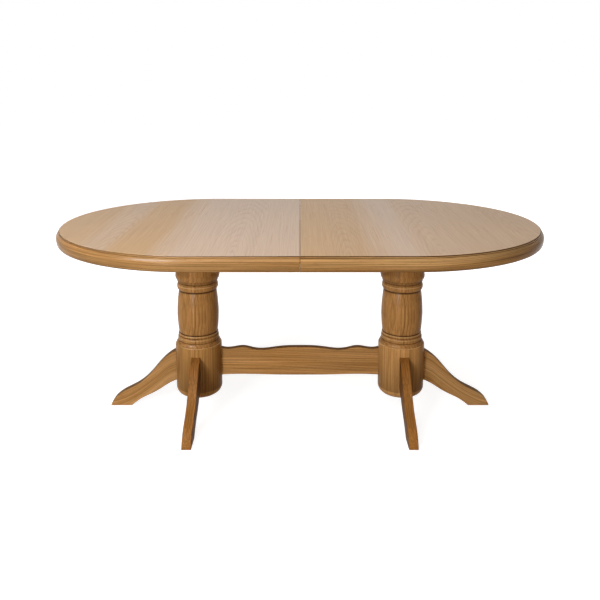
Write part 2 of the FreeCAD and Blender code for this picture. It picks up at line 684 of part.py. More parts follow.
def bearer(half_side):
    """Cross bearer over one column, with tapered ends and a pocket for the rod's nut."""
    half = BEARER_LENGTH / 2
    flat = BEARER_FLAT / 2
    tip = BEARER_TOP - BEARER_TIP_THICKNESS
    outline = [Vector(0, -half, BEARER_TOP), Vector(0, -half, tip), Vector(0, -flat, COLUMN_TOP),
               Vector(0, flat, COLUMN_TOP), Vector(0, half, tip), Vector(0, half, BEARER_TOP)]
    beam = polygon_face(outline).extrude(Vector(BEARER_WIDTH, 0, 0))
    beam.translate(Vector(-BEARER_WIDTH / 2, 0, 0))
    pocket_depth = ROD_WASHER_THICKNESS + ROD_NUT_HEIGHT + ROD_END
    pocket = Part.makeCylinder(NUT_POCKET_RADIUS, pocket_depth + CUT_OVERRUN,
                               Vector(0, 0, BEARER_TOP - pocket_depth))
    tools = [rod_hole(), pocket]
    tools += [column_dowel_hole(p) for p in column_dowel_places(COLUMN_TOP)]
    beam = cut_all(beam, tools)
    beam.translate(Vector(half_side * PEDESTAL_PLACE, 0, 0))
    tools = [stop_pin(p, DOWEL_FIT) for p in stop_places(half_side)]
    for place in rail_screw_places():
        if place.x * half_side > 0:
            floor = Vector(place.x, place.y, COLUMN_TOP - CUT_OVERRUN)
            tools.append(Part.makeCylinder(SCREW_POCKET_RADIUS, place.z - floor.z, floor))
            tools.append(screw_hole(place, RAIL_SCREW_LENGTH))
    return cut_all(beam, tools)


# Pedestal, made about its own upright axis

def column():
    """Turned column with a bowl-shaped capital, rings, a barrel and a spigot for the hub."""
    def at(radius, height):
        return Vector(radius, 0, height)

    spigot = HUB_TOP - SPIGOT_LENGTH
    lip = HUB_TOP + FOOT_LIP
    neck = HUB_TOP + FOOT_HEIGHT
    ring = neck + FINE_GROOVE
    ring_top = ring + LOWER_RING_HEIGHT
    bead = ring_top + FINE_GROOVE
    bead_top = bead + BEAD_HEIGHT
    barrel = bead_top + QUIRK_HEIGHT
    capital = COLUMN_TOP - CAPITAL_HEIGHT
    fillet = capital - FINE_GROOVE - FILLET_HEIGHT
    collar = fillet - COLLAR_HEIGHT
    upper_top = collar - QUIRK_HEIGHT
    upper = upper_top - UPPER_RING_HEIGHT
    barrel_top = upper - QUIRK_HEIGHT
    waist = barrel + BARREL_WAIST_SHARE * (barrel_top - barrel)
    foot_groove = LOWER_RING_EDGE_RADIUS - FINE_GROOVE
    ring_groove = BEAD_EDGE_RADIUS - FINE_GROOVE
    low_quirk = BEAD_EDGE_RADIUS - QUIRK_DEPTH
    high_quirk = UPPER_RING_EDGE_RADIUS - QUIRK_DEPTH
    fillet_groove = FILLET_RADIUS - FINE_GROOVE
    swell = capital + BOWL_SWELL_SHARE * BOWL_HEIGHT
    foot_bulge = at((FOOT_RADIUS + FOOT_NECK_RADIUS) / 2 + FINE_GROOVE, (lip + neck) / 2)
    barrel_curve = spline([at(BARREL_FOOT_RADIUS, barrel), at(BARREL_RADIUS, waist),
                           at(BARREL_NECK_RADIUS, barrel_top)])
    below = run_of(at(0, spigot), [
        at(SPIGOT_RADIUS, spigot), at(SPIGOT_RADIUS, HUB_TOP), at(FOOT_RADIUS, HUB_TOP),
        at(FOOT_RADIUS, lip), (foot_bulge, at(FOOT_NECK_RADIUS, neck)),
        at(foot_groove, neck), at(foot_groove, ring), at(LOWER_RING_EDGE_RADIUS, ring),
        (at(LOWER_RING_RADIUS, (ring + ring_top) / 2), at(LOWER_RING_EDGE_RADIUS, ring_top)),
        at(ring_groove, ring_top), at(ring_groove, bead), at(BEAD_EDGE_RADIUS, bead),
        (at(BEAD_RADIUS, (bead + bead_top) / 2), at(BEAD_EDGE_RADIUS, bead_top)),
        at(low_quirk, bead_top), at(low_quirk, barrel), at(BARREL_FOOT_RADIUS, barrel)])
    above = run_of(at(BARREL_NECK_RADIUS, barrel_top), [
        at(BARREL_NECK_RADIUS, upper), at(UPPER_RING_EDGE_RADIUS, upper),
        (at(UPPER_RING_RADIUS, (upper + upper_top) / 2), at(UPPER_RING_EDGE_RADIUS, upper_top)),
        at(high_quirk, upper_top), at(high_quirk, collar), at(COLLAR_RADIUS, collar),
        at(COLLAR_RADIUS, fillet), at(FILLET_RADIUS, fillet), at(FILLET_RADIUS, fillet + FILLET_HEIGHT),
        at(fillet_groove, fillet + FILLET_HEIGHT), at(fillet_groove, capital),
        at(CAPITAL_FOOT_RADIUS, capital),
        (at(BOWL_RADIUS, swell), at(CAPITAL_RADIUS, capital + BOWL_HEIGHT)),
        at(CAPITAL_RADIUS, COLUMN_TOP), at(0, COLUMN_TOP), at(0, spigot)])
    edges = below + [barrel_curve] + above
    tools = [rod_hole()]
    for height in (HUB_TOP, COLUMN_TOP):
        tools += [column_dowel_hole(p) for p in column_dowel_places(height)]
    return cut_all(turned(edges), tools)


def radial(angle, distance, height):
    """Place in the pedestal's own frame at a distance along a leg's direction."""
    return Vector(distance * math.cos(angle), distance * math.sin(angle), height)


def leg_bolt_heights():
    return [LEG_HEIGHT * share for share in LEG_BOLT_SHARES]


def stretcher_bolt_heights():
    return [STRETCHER_BOTTOM + STRETCHER_HEIGHT * share for share in STRETCHER_BOLT_SHARES]


def bolt_lines(half_side):
    """Angle and height of every bolt in a hub: legs at the outer side, front and back, and stretcher."""
    outer = 0.0 if half_side > 0 else math.pi
    legs = [(angle, height) for angle in (outer, -math.pi / 2, math.pi / 2)
            for height in leg_bolt_heights()]
    return legs, [(outer + math.pi, height) for height in stretcher_bolt_heights()]


def bolt_seat():
    return HUB_HOLLOW_RADIUS + SPOT_FACE_DEPTH


def bolt(angle, height):
    """Socket-head bolt from inside the hub, through the hub and into its barrel nut."""
    way = radial(angle, 1, 0)
    seat = radial(angle, bolt_seat(), height)
    length = HUB_RADIUS + LEG_NUT_INSET + BOLT_PASS - bolt_seat()
    shank = Part.makeCylinder(BOLT_RADIUS, length, seat, way)
    head = Part.makeCylinder(BOLT_HEAD_RADIUS, BOLT_HEAD_HEIGHT, seat, way * -1)
    end = radial(angle, bolt_seat() - BOLT_HEAD_HEIGHT, height)
    return shank.fuse(head).cut(hexagon(end, BOLT_SOCKET_FLATS, BOLT_SOCKET_DEPTH, way))


def bolt_hole(angle, height):
    """Clearance hole along a bolt, with a flat for its head inside the hub."""
    way = radial(angle, 1, 0)
    length = HUB_RADIUS + LEG_NUT_INSET + BOLT_PASS + DOWEL_END_CLEARANCE
    hole = Part.makeCylinder(BOLT_RADIUS + BOLT_BORE_CLEARANCE, length, radial(angle, 0, height), way)
    flat = Part.makeCylinder(SPOT_FACE_RADIUS, bolt_seat(), radial(angle, 0, height), way)
    return hole.fuse(flat)


def barrel_nut(angle, height, thickness):
    """Cross nut in a leg or the stretcher, threaded across its middle."""
    across = radial(angle + math.pi / 2, 1, 0)
    length = thickness * BARREL_NUT_SHARE
    middle = radial(angle, HUB_RADIUS + LEG_NUT_INSET, height)
    nut = Part.makeCylinder(BARREL_NUT_RADIUS, length, middle - across * (length / 2), across)
    thread = Part.makeCylinder(BOLT_RADIUS + THREAD_FIT, 4 * BARREL_NUT_RADIUS,
                               radial(angle, HUB_RADIUS + LEG_NUT_INSET - 2 * BARREL_NUT_RADIUS, height),
                               radial(angle, 1, 0))
    return nut.cut(thread)


def barrel_nut_hole(angle, height, thickness, open_side):
    """Blind hole for a barrel nut from one face; open_side picks that face."""
    across = radial(angle + open_side * math.pi / 2, 1, 0)
    length = thickness * BARREL_NUT_SHARE
    middle = radial(angle, HUB_RADIUS + LEG_NUT_INSET, height)
    depth = length / 2 + thickness / 2 + CUT_OVERRUN
    return Part.makeCylinder(BARREL_NUT_RADIUS + DOWEL_FIT, depth, middle - across * (length / 2), across)


def hub(half_side):
    """Hollow turned hub, closed at the top by a thick ceiling with a socket for the column."""
    def at(radius, height):
        return Vector(radius, 0, height)

    ceiling = HUB_TOP - HUB_CEILING
    socket = HUB_TOP - SPIGOT_LENGTH - SPIGOT_END_CLEARANCE
    low_round = HUB_BOTTOM + HUB_BOTTOM_ROUND
    high_round = HUB_TOP - HUB_TOP_ROUND
    inner = HUB_RADIUS - HUB_BOTTOM_ROUND
    upper = HUB_RADIUS - HUB_TOP_ROUND
    socket_radius = SPIGOT_RADIUS + GLUE_LINE
    edges = [
        line(at(HUB_HOLLOW_RADIUS, HUB_BOTTOM), at(inner, HUB_BOTTOM)),
        arc_between(at(inner, HUB_BOTTOM), at(HUB_RADIUS, low_round), at(inner, low_round)),
        line(at(HUB_RADIUS, low_round), at(HUB_RADIUS, high_round)),
        arc_between(at(HUB_RADIUS, high_round), at(upper, HUB_TOP), at(upper, high_round)),
        line(at(upper, HUB_TOP), at(socket_radius, HUB_TOP)),
        line(at(socket_radius, HUB_TOP), at(socket_radius, socket)),
        line(at(socket_radius, socket), at(0, socket)),
        line(at(0, socket), at(0, ceiling)),
        line(at(0, ceiling), at(HUB_HOLLOW_RADIUS, ceiling)),
        line(at(HUB_HOLLOW_RADIUS, ceiling), at(HUB_HOLLOW_RADIUS, HUB_BOTTOM))]
    legs, ends = bolt_lines(half_side)
    tools = [rod_hole()]
    tools += [column_dowel_hole(p) for p in column_dowel_places(HUB_TOP)]
    tools += [bolt_hole(angle, height) for angle, height in legs + ends]
    return cut_all(turned(edges), tools)


def leg_points(shares):
    run = LEG_REACH - HUB_RADIUS
    rise = LEG_HEIGHT - GLIDE_PROUD
    return [Vector(HUB_RADIUS + along * run, 0, GLIDE_PROUD + up * rise) for along, up in shares]


def glide_place():
    return HUB_RADIUS + GLIDE_PLACE_SHARE * (LEG_REACH - HUB_RADIUS)


def leg(angle, open_side):
    """S-shaped leg scribed to the hub, with bolt and nut holes and a recess for its glide."""
    top = leg_points(LEG_TOP_SHARES)
    bottom = leg_points(LEG_BOTTOM_SHARES)
    face = face_of([spline(top), line(top[-1], bottom[0]), spline(bottom), line(bottom[-1], top[0])])
    board = face.extrude(Vector(0, LEG_THICKNESS, 0))
    board.translate(Vector(0, -LEG_THICKNESS / 2, 0))
    long_edges = [e for e in board.Edges
                  if max(v.X for v in e.Vertexes) - min(v.X for v in e.Vertexes) > LEG_THICKNESS
                  and max(v.Y for v in e.Vertexes) - min(v.Y for v in e.Vertexes) < LEG_ARRIS
                  and max(v.Z for v in e.Vertexes) - min(v.Z for v in e.Vertexes) > LEG_THICKNESS]
    board = board.makeFillet(LEG_ARRIS, long_edges)
    tools = [Part.makeCylinder(HUB_RADIUS + GLUE_LINE, HUB_TOP, CENTRE),
             Part.makeCylinder(GLIDE_RADIUS + GLUE_LINE, GLIDE_THICKNESS,
                               Vector(glide_place(), 0, 0))]
    for height in leg_bolt_heights():
        tools.append(bolt_hole(0, height))
        tools.append(barrel_nut_hole(0, height, LEG_THICKNESS, open_side))
    board = cut_all(board, tools)
    board.rotate(CENTRE, UP, math.degrees(angle))
    return board


def glide(angle):
    return Part.makeCylinder(GLIDE_RADIUS, GLIDE_THICKNESS, radial(angle, glide_place(), 0))


def tie_rod_ends():
    low = HUB_TOP - HUB_CEILING - ROD_WASHER_THICKNESS - ROD_NUT_HEIGHT - ROD_END
    return low, BEARER_TOP


def tie_rod():
    low, high = tie_rod_ends()
    return Part.makeCylinder(ROD_RADIUS, high - low, Vector(0, 0, low))


def rod_nuts():
    """Nut and washer under the hub's ceiling and in the bearer's pocket."""
    low, high = tie_rod_ends()
    washers = (low + ROD_END + ROD_NUT_HEIGHT, high - ROD_END - ROD_NUT_HEIGHT - ROD_WASHER_THICKNESS)
    nuts = (low + ROD_END, high - ROD_END - ROD_NUT_HEIGHT)
    thread = Part.makeCylinder(ROD_RADIUS + THREAD_FIT, TABLE_HEIGHT, CENTRE)
    rings = [Part.makeCylinder(ROD_WASHER_RADIUS, ROD_WASHER_THICKNESS, Vector(0, 0, z)) for z in washers]
    hexes = [hexagon(Vector(0, 0, z), ROD_NUT_FLATS, ROD_NUT_HEIGHT, UP) for z in nuts]
    return [piece.cut(thread) for piece in rings + hexes]


def stretcher():
    """Board between the hubs with a wavy top, scribed to both hubs."""
    span = PEDESTAL_PLACE - HUB_RADIUS

    def wave(shares):
        right = [Vector(along * span, 0, STRETCHER_BOTTOM + up * STRETCHER_HEIGHT) for along, up in shares]
        left = [Vector(-p.x, 0, p.z) for p in reversed(right[1:])]
        return left + right

    top = wave(STRETCHER_TOP_SHARES)
    bottom = wave(STRETCHER_BOTTOM_SHARES)
    face = face_of([spline(top), line(top[-1], bottom[-1]), spline(bottom), line(bottom[0], top[0])])
    board = face.extrude(Vector(0, STRETCHER_THICKNESS, 0))
    board.translate(Vector(0, -STRETCHER_THICKNESS / 2, 0))
    long_edges = [e for e in board.Edges
                  if max(v.X for v in e.Vertexes) - min(v.X for v in e.Vertexes) > span]
    board = board.makeFillet(STRETCHER_ARRIS, long_edges)
    tools = []
    for sx in (-1, 1):
        axis = Vector(sx * PEDESTAL_PLACE, 0, 0)
        tools.append(Part.makeCylinder(HUB_RADIUS + GLUE_LINE, HUB_TOP, axis))
        toward = 0.0 if sx < 0 else math.pi
        for height in stretcher_bolt_heights():
            holes = bolt_hole(toward, height).fuse(
                barrel_nut_hole(toward, height, STRETCHER_THICKNESS, -sx))
            holes.translate(axis)
            tools.append(holes)
    return cut_all(board, tools)


def moved(shape, offset):
    copy = shape.copy()
    copy.translate(offset)
    return copy


def write_halves():
    """Everything that slides: panels, mouldings, battens, runners, screws, dowels and locks."""
    edges = edge_pieces()
    blank = panel_blank()
    distances = {"seam": SEAM_BATTEN_PLACE, "middle": MIDDLE_BATTEN_PLACE, "end": END_BATTEN_PLACE}
    batten_screws = [p for d in distances.values() for p in batten_screw_places(d)]
    panel_holes = [screw_hole(p, BATTEN_SCREW_LENGTH) for p in batten_screws]
    for name, sign in (("left", -1), ("right", 1)):
        place = mirrored if sign < 0 else (lambda shape: shape)
        fit = DOWEL_FIT if sign < 0 else SEAM_DOWEL_FIT
        dowel_holes = [seam_dowel_hole(p, fit) for p in seam_dowel_places()]
        save(name + "_panel", place(cut_all(blank, panel_holes + dowel_holes)))
        for part, shape in edges.items():
            save(name + "_edge_" + part, place(shape))
        middle = runner_middle(sign)
        runner_screws = [p for sy in (-1, 1) for p in runner_screw_places(sy * middle)]
        for part, distance in distances.items():
            tools = [screw_hole(p, BATTEN_SCREW_LENGTH) for p in batten_screw_places(distance)]
            tools += [screw_hole(p, RUNNER_SCREW_LENGTH) for p in runner_screws]
            batten = place(cut_all(batten_blank(distance), tools))
            if part == "seam" and sign > 0:
                batten = cut_all(batten, [lock_stud(side, SCREW_FIT) for side in (-1, 1)])
            if part == "seam" and sign < 0:
                lock_screws = [p for side in (-1, 1) for p in lock_screw_places(side)]
                batten = cut_all(batten, [screw_hole(p, LOCK_SCREW_LENGTH) for p in lock_screws])
            save(name + "_" + part + "_batten", batten)
        for part, sy in (("front", -1), ("back", 1)):
            save(name + "_" + part + "_runner", place(runner(sy * middle, sy * sign)))
        save(name + "_batten_screws", [place(screw(p, BATTEN_SCREW_LENGTH)) for p in batten_screws])
        save(name + "_runner_screws", [place(screw(p, RUNNER_SCREW_LENGTH)) for p in runner_screws])
    save("seam_dowels", [seam_dowel(p) for p in seam_dowel_places()])
    save("lock_plates", [lock_plate(side) for side in (-1, 1)])
    save("lock_screws", [screw(p, LOCK_SCREW_LENGTH) for side in (-1, 1) for p in lock_screw_places(side)])
    save("lock_studs", [lock_stud(side) for side in (-1, 1)])
    save("front_lock_lever", lock_lever(-1))
    save("back_lock_lever", lock_lever(1))


def write_frame():
    """Rails, tie, bearers, stop pins and their screws."""
    save("front_rail", rail(-1))
    save("back_rail", rail(1))
    save("centre_tie", centre_tie())
    save("left_bearer", bearer(-1))
    save("right_bearer", bearer(1))
    save("stop_pins", [stop_pin(p) for sign in (-1, 1) for p in stop_places(sign)])
    save("rail_screws", [screw(p, RAIL_SCREW_LENGTH) for p in rail_screw_places()]
         + [screw(p, TIE_SCREW_LENGTH) for p in tie_screw_places()])


def write_pedestals():
    """Columns, hubs, legs, stretcher and what holds them together."""
    bolts = []
    nuts = []
    stretcher_bolts = []
    stretcher_nuts = []
    rod_pieces = []
    dowels = []
    glides = []
    for name, sign in (("left", -1), ("right", 1)):
        axis = Vector(sign * PEDESTAL_PLACE, 0, 0)
        outer = 0.0 if sign > 0 else math.pi
        save(name + "_column", moved(column(), axis))
        save(name + "_hub", moved(hub(sign), axis))
        save(name + "_tie_rod", moved(tie_rod(), axis))
        angles = {"outer": outer, "front": -math.pi / 2, "back": math.pi / 2}
        open_sides = {"outer": sign, "front": sign, "back": -sign}
        for part, angle in angles.items():
            save(name + "_" + part + "_leg", moved(leg(angle, open_sides[part]), axis))
            glides.append(moved(glide(angle), axis))
        legs, ends = bolt_lines(sign)
        bolts += [moved(bolt(a, h), axis) for a, h in legs]
        nuts += [moved(barrel_nut(a, h, LEG_THICKNESS), axis) for a, h in legs]
        stretcher_bolts += [moved(bolt(a, h), axis) for a, h in ends]
        stretcher_nuts += [moved(barrel_nut(a, h, STRETCHER_THICKNESS), axis) for a, h in ends]
        rod_pieces += [moved(piece, axis) for piece in rod_nuts()]
        dowels += [moved(column_dowel(p), axis)
                   for height in (HUB_TOP, COLUMN_TOP) for p in column_dowel_places(height)]
    save("stretcher", stretcher())
    save("leg_bolts", bolts)
    save("leg_nuts", nuts)
    save("stretcher_bolts", stretcher_bolts)
    save("stretcher_nuts", stretcher_nuts)
    save("tie_rod_nuts", rod_pieces)
    save("column_dowels", dowels)
    save("foot_glides", glides)


os.makedirs("parts", exist_ok=True)
write_halves()
write_frame()
write_pedestals()
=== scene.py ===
import bmesh
import bpy
import cmath
import math
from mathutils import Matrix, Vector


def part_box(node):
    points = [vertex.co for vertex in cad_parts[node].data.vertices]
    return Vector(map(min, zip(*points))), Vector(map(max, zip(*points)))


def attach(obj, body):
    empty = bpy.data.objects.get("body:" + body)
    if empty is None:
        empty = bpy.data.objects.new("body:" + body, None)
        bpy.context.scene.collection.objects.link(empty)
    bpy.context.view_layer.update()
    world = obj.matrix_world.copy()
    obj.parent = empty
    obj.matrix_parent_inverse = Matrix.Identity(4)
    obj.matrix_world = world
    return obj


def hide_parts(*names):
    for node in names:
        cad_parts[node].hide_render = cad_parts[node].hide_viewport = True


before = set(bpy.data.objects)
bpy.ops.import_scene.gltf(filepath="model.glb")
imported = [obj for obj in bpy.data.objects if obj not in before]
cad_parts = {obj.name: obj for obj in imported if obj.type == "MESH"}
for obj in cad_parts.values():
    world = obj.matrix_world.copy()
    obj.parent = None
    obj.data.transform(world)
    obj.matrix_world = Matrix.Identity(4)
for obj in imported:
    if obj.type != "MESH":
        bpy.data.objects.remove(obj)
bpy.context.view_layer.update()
MM = 0.001

# Hubs: hollow oak turnings at the foot of each column, glued up from upright staves.
# They are turned on a lathe with a large round below and a fine arris above, and the legs
# are bolted to them from inside.
HUB_ROUND = 32
HUB_ROUND_STEPS = 12
# Painted shade where the large round meets the side.
HUB_ROUND_SHADE = 0.5
HUB_ARRIS = 4
HUB_ARRIS_STEPS = 6
# A painted highlight along the middle of the arris.
HUB_ARRIS_HIGHLIGHT = -0.8
HUB_MOUTH_ARRIS = 1
HUB_HOLLOW_RADIUS = 46
HUB_CEILING = 44
ROD_BORE_RADIUS = 7
SPIGOT_SOCKET_RADIUS = 38.1
SPIGOT_SOCKET_DEPTH = 20.5
TURNING_STEPS = 144
MERGE_MM = 0.002
SHARP_ANGLE = math.radians(32)
STAVE_MM = 46.0
UPRIGHT = (0, -90, 0)
HUB_HONEY = {"left": "#b0824b", "right": "#bf8f57"}
HUB_PALE = {"left": "#ba925f", "right": "#c89e6b"}
# Where along the log each hub's figure starts, in metres, so that the two differ.
HUB_GROWN_AT = {"left": 0.0, "right": 1.3}


def add(tree, kind, inputs=(), stops=(), **settings):
    """Adds a node; an input that is a node or a socket is linked, and any other is a value.
    Stops are the places and colours along a colour ramp."""
    made = tree.nodes.new(kind)
    for key, value in settings.items():
        setattr(made, key, value)
    for number, (place, colour) in enumerate(stops):
        points = made.color_ramp.elements
        point = points[number] if number < 2 else points.new(place)
        point.position, point.color = place, colour
    for key, value in dict(inputs).items():
        if isinstance(value, bpy.types.Node):
            value = next(socket for socket in value.outputs if socket.enabled)
        if isinstance(value, bpy.types.NodeSocket):
            tree.links.new(value, made.inputs[key])
        else:
            made.inputs[key].default_value = value
    return made


def linear(code):
    """Linear colour of an sRGB hex value."""
    parts = [int(code[i:i + 2], 16) / 255 for i in (1, 3, 5)]
    return [p / 12.92 if p <= 0.04045 else ((p + 0.055) / 1.055) ** 2.4 for p in parts] + [1.0]


def new_material(name):
    """An empty material and its tree."""
    material = bpy.data.materials.new(name)
    material.use_nodes = True
    material.node_tree.nodes.clear()
    return material, material.node_tree


def streaks(tree, wood, along, across, detail=2.0, rough=0.5):
    """Noise drawn out along the grain; the two sizes are millimetres."""
    scale = (1 / (along * MM), 1 / (across * MM), 1 / (across * MM))
    drawn = add(tree, "ShaderNodeMapping", {"Vector": wood, "Scale": scale})
    return add(tree, "ShaderNodeTexNoise", {"Vector": drawn, "Scale": 1.0, "Detail": detail,
                                            "Roughness": rough})


# Oak under satin lacquer: honey brown with darker porous lines where each year's growth began,
# paler wood between them, short pores and a soft sheen. Stain gathers dark in the seams, painted
# shade darkens quirks and faces that lie in shade, and painted highlights lighten arrises and
# crests. Real fibres and pores are about 0.3 mm wide, and are drawn coarser here so that they
# show. Sizes are along and across the grain.
OAK_HONEY = "#ad7f4b"
OAK_PALE = "#b88f5e"
OAK_EARLY = "#6f4620"
OAK_PORE = "#553517"
OAK_STAIN_SHADE = "#3b230f"
OAK_HIGHLIGHT = "#e0bb86"
OAK_IOR = 1.5
DRIFT_MM = (420, 70)
BROAD_MM = (800, 24)
FIBRE_MM = (500, 9.0)
FINE_MM = (420, 3.2)
PORE_MM = (18, 1.5)
PATCH_MM = (500, 50)
WIDEST_BOARD_MM = 1000.0
# How far painted shade and highlights reach from their point, in millimetres.
PAINTED_LIGHT_REACH = 2.2
# How far aside of a board the log's heart may lie, in metres.
HEART_ASIDE = 0.09
# A year's growth from its start to its end, and how dark the wood is there.
YEAR = ((0.0, 1.0), (0.2, 0.5), (0.42, 0.08), (0.9, 0.0), (1.0, 0.8))
FAINTEST_LINE = 0.2
FIBRE_DARKER, FIBRE_LIGHTER = 0.2, 0.16
FINE_DARKER, FINE_LIGHTER = 0.34, 0.24
RELIEF_MM = 0.3
RELIEF_STRENGTH = 0.2
SHEEN_SPREAD = 0.08
# The middle of a noise, and the part of its range that is used.
NOISE_MIDDLE = (0.5, 0.5, 0.5)
NOISE_SPAN = {"From Min": 0.3, "From Max": 0.7}
FIBRE_SPAN = {"From Min": 0.28, "From Max": 0.72}
PATCH_SPAN = {"From Min": 0.32, "From Max": 0.68}
PORE_SPAN = {"From Min": 0.62, "From Max": 0.7}


def oak_finish(tree, wood, tone, aside, stain_and_painted_light, honey=OAK_HONEY, pale=OAK_PALE, early=OAK_EARLY,
               ring=9.0, heart_depth=95.0, taper=0.05, wander=28.0, line_share=0.55, figure=1.0,
               pores=0.3, sheen=0.36, gloss_level=0.012):
    """Growth rings, fibres, pores, stain, painted shade, painted highlights and lacquer over one
    piece of wood; sizes in millimetres. The rings lie round the log's heart, which runs aside of
    and below the piece and tapers along it. A share above zero darkens the wood, as stain in seams
    and as painted shade in quirks and shaded faces; below zero it is a painted highlight."""
    strayed = streaks(tree, wood, *DRIFT_MM).outputs["Color"]
    drift = add(tree, "ShaderNodeVectorMath", {0: strayed, 1: NOISE_MIDDLE}, operation="SUBTRACT")
    wavy = add(tree, "ShaderNodeVectorMath",
               {0: drift, 1: (0.0, wander * MM, wander * MM), 2: wood}, operation="MULTIPLY_ADD")
    part = add(tree, "ShaderNodeSeparateXYZ", {"Vector": wavy}).outputs
    deep = add(tree, "ShaderNodeMath", {0: part["X"], 1: taper, 2: heart_depth * MM},
               operation="MULTIPLY_ADD")
    heart = add(tree, "ShaderNodeCombineXYZ", {
        "Y": add(tree, "ShaderNodeMath", {0: part["Y"], 1: aside}),
        "Z": add(tree, "ShaderNodeMath", {0: part["Z"], 1: deep})})
    age = add(tree, "ShaderNodeVectorMath", {0: heart}, operation="LENGTH").outputs["Value"]
    years = add(tree, "ShaderNodeMath", {0: age, 1: ring * MM}, operation="DIVIDE")
    season = add(tree, "ShaderNodeMath", {0: years}, operation="FRACT")
    growth = add(tree, "ShaderNodeValToRGB", {"Fac": season},
                 stops=[(place, (dark, dark, dark, 1)) for place, dark in YEAR])
    broad = streaks(tree, wood, *BROAD_MM)
    fibre = streaks(tree, wood, *FIBRE_MM, detail=3.0, rough=0.6)
    fine = streaks(tree, wood, *FINE_MM, rough=0.6)
    pore = streaks(tree, wood, *PORE_MM, detail=1.0)
    strength = add(tree, "ShaderNodeMapRange", {"Value": broad, **NOISE_SPAN,
                                                "To Min": FAINTEST_LINE})
    lines = add(tree, "ShaderNodeMath", {0: growth, 1: strength}, operation="MULTIPLY")
    lined = add(tree, "ShaderNodeMath", {0: lines, 1: line_share}, operation="MULTIPLY")
    body = add(tree, "ShaderNodeMix", {"Factor": tone, "A": linear(honey), "B": linear(pale)},
               data_type="RGBA")
    grown = add(tree, "ShaderNodeMix", {"Factor": lined, "A": body, "B": linear(early)},
                data_type="RGBA")
    shade = add(tree, "ShaderNodeMapRange", {
        "Value": fibre, **FIBRE_SPAN, "To Min": 1 - FIBRE_DARKER * figure,
        "To Max": 1 + FIBRE_LIGHTER * figure})
    shade_fine = add(tree, "ShaderNodeMapRange", {
        "Value": fine, **NOISE_SPAN, "To Min": 1 - FINE_DARKER * figure,
        "To Max": 1 + FINE_LIGHTER * figure})
    shades = add(tree, "ShaderNodeMath", {0: shade, 1: shade_fine}, operation="MULTIPLY")
    toned = add(tree, "ShaderNodeVectorMath", {0: grown, "Scale": shades}, operation="SCALE")
    opened = add(tree, "ShaderNodeMapRange", {"Value": pore, **PORE_SPAN, "To Max": pores})
    porous = add(tree, "ShaderNodeMix", {"Factor": opened, "A": toned, "B": linear(OAK_PORE)},
                 data_type="RGBA")
    # Stain in seams, and painted shade in quirks and shaded faces, in one dark colour.
    stained_and_shaded = add(tree, "ShaderNodeMix", {"Factor": stain_and_painted_light, "A": porous, "B": linear(OAK_STAIN_SHADE)},
                  data_type="RGBA")
    # A share below zero is a painted highlight, pale on arrises and crests.
    painted_light_share = add(tree, "ShaderNodeMath", {0: stain_and_painted_light, 1: -1.0}, operation="MULTIPLY")
    wear_and_highlight = add(tree, "ShaderNodeMix", {"Factor": painted_light_share, "A": stained_and_shaded, "B": linear(OAK_HIGHLIGHT)},
               data_type="RGBA")
    relief = add(tree, "ShaderNodeMath", {0: fine, 1: opened}, operation="SUBTRACT")
    bump = add(tree, "ShaderNodeBump", {"Height": relief, "Strength": RELIEF_STRENGTH,
                                        "Distance": RELIEF_MM * MM})
    gloss = add(tree, "ShaderNodeMapRange", {"Value": relief, "To Min": sheen + SHEEN_SPREAD,
                                             "To Max": sheen - SHEEN_SPREAD})
    surface = add(tree, "ShaderNodeBsdfPrincipled", {
        "Base Color": wear_and_highlight, "Roughness": gloss, "IOR": OAK_IOR, "Specular IOR Level": gloss_level,
        "Normal": bump})
    add(tree, "ShaderNodeOutputMaterial", {"Surface": surface})


def laid_out(tree, centre, turn):
    """Place in a piece's wood, in metres from centre; turn, in degrees, lays X along its grain."""
    place = add(tree, "ShaderNodeTexCoord").outputs["Object"]
    turned = [math.radians(angle) for angle in turn]
    return add(tree, "ShaderNodeMapping", {"Vector": place, "Location": centre, "Rotation": turned},
               vector_type="TEXTURE").outputs["Vector"]


def oak_board(name, centre, turn, stave=WIDEST_BOARD_MM, stained_and_shaded=None, **look):
    """Oak for one piece, glued up from boards as wide as stave that differ in tone and heart.
    Its painted shade and highlights are the mesh's own, or the painted shade that the given
    function makes."""
    material, tree = new_material(name)
    wood = laid_out(tree, centre, turn)
    across = add(tree, "ShaderNodeSeparateXYZ", {"Vector": wood}).outputs["Y"]
    board = add(tree, "ShaderNodeMath", {0: across, 1: 1 / (stave * MM), 2: 0.5},
                operation="MULTIPLY_ADD")
    number = add(tree, "ShaderNodeMath", {0: board}, operation="FLOOR")
    chance = add(tree, "ShaderNodeTexWhiteNoise", {"W": number}, noise_dimensions="1D")
    chance = chance.outputs["Value"]
    cloud = streaks(tree, wood, *PATCH_MM, detail=1.0)
    patch = add(tree, "ShaderNodeMapRange", {"Value": cloud, **PATCH_SPAN})
    tone = add(tree, "ShaderNodeMath", {0: patch, 1: chance}, operation="MULTIPLY")
    if stained_and_shaded:
        stain_and_painted_light = stained_and_shaded(tree)
    else:
        stain_and_painted_light = add(tree, "ShaderNodeAttribute", attribute_name="stain_and_painted_light").outputs["Fac"]
    aside = add(tree, "ShaderNodeMapRange", {"Value": chance, "To Min": -HEART_ASIDE,
                                             "To Max": HEART_ASIDE})
    oak_finish(tree, wood, tone, aside, stain_and_painted_light, **look)
    return material


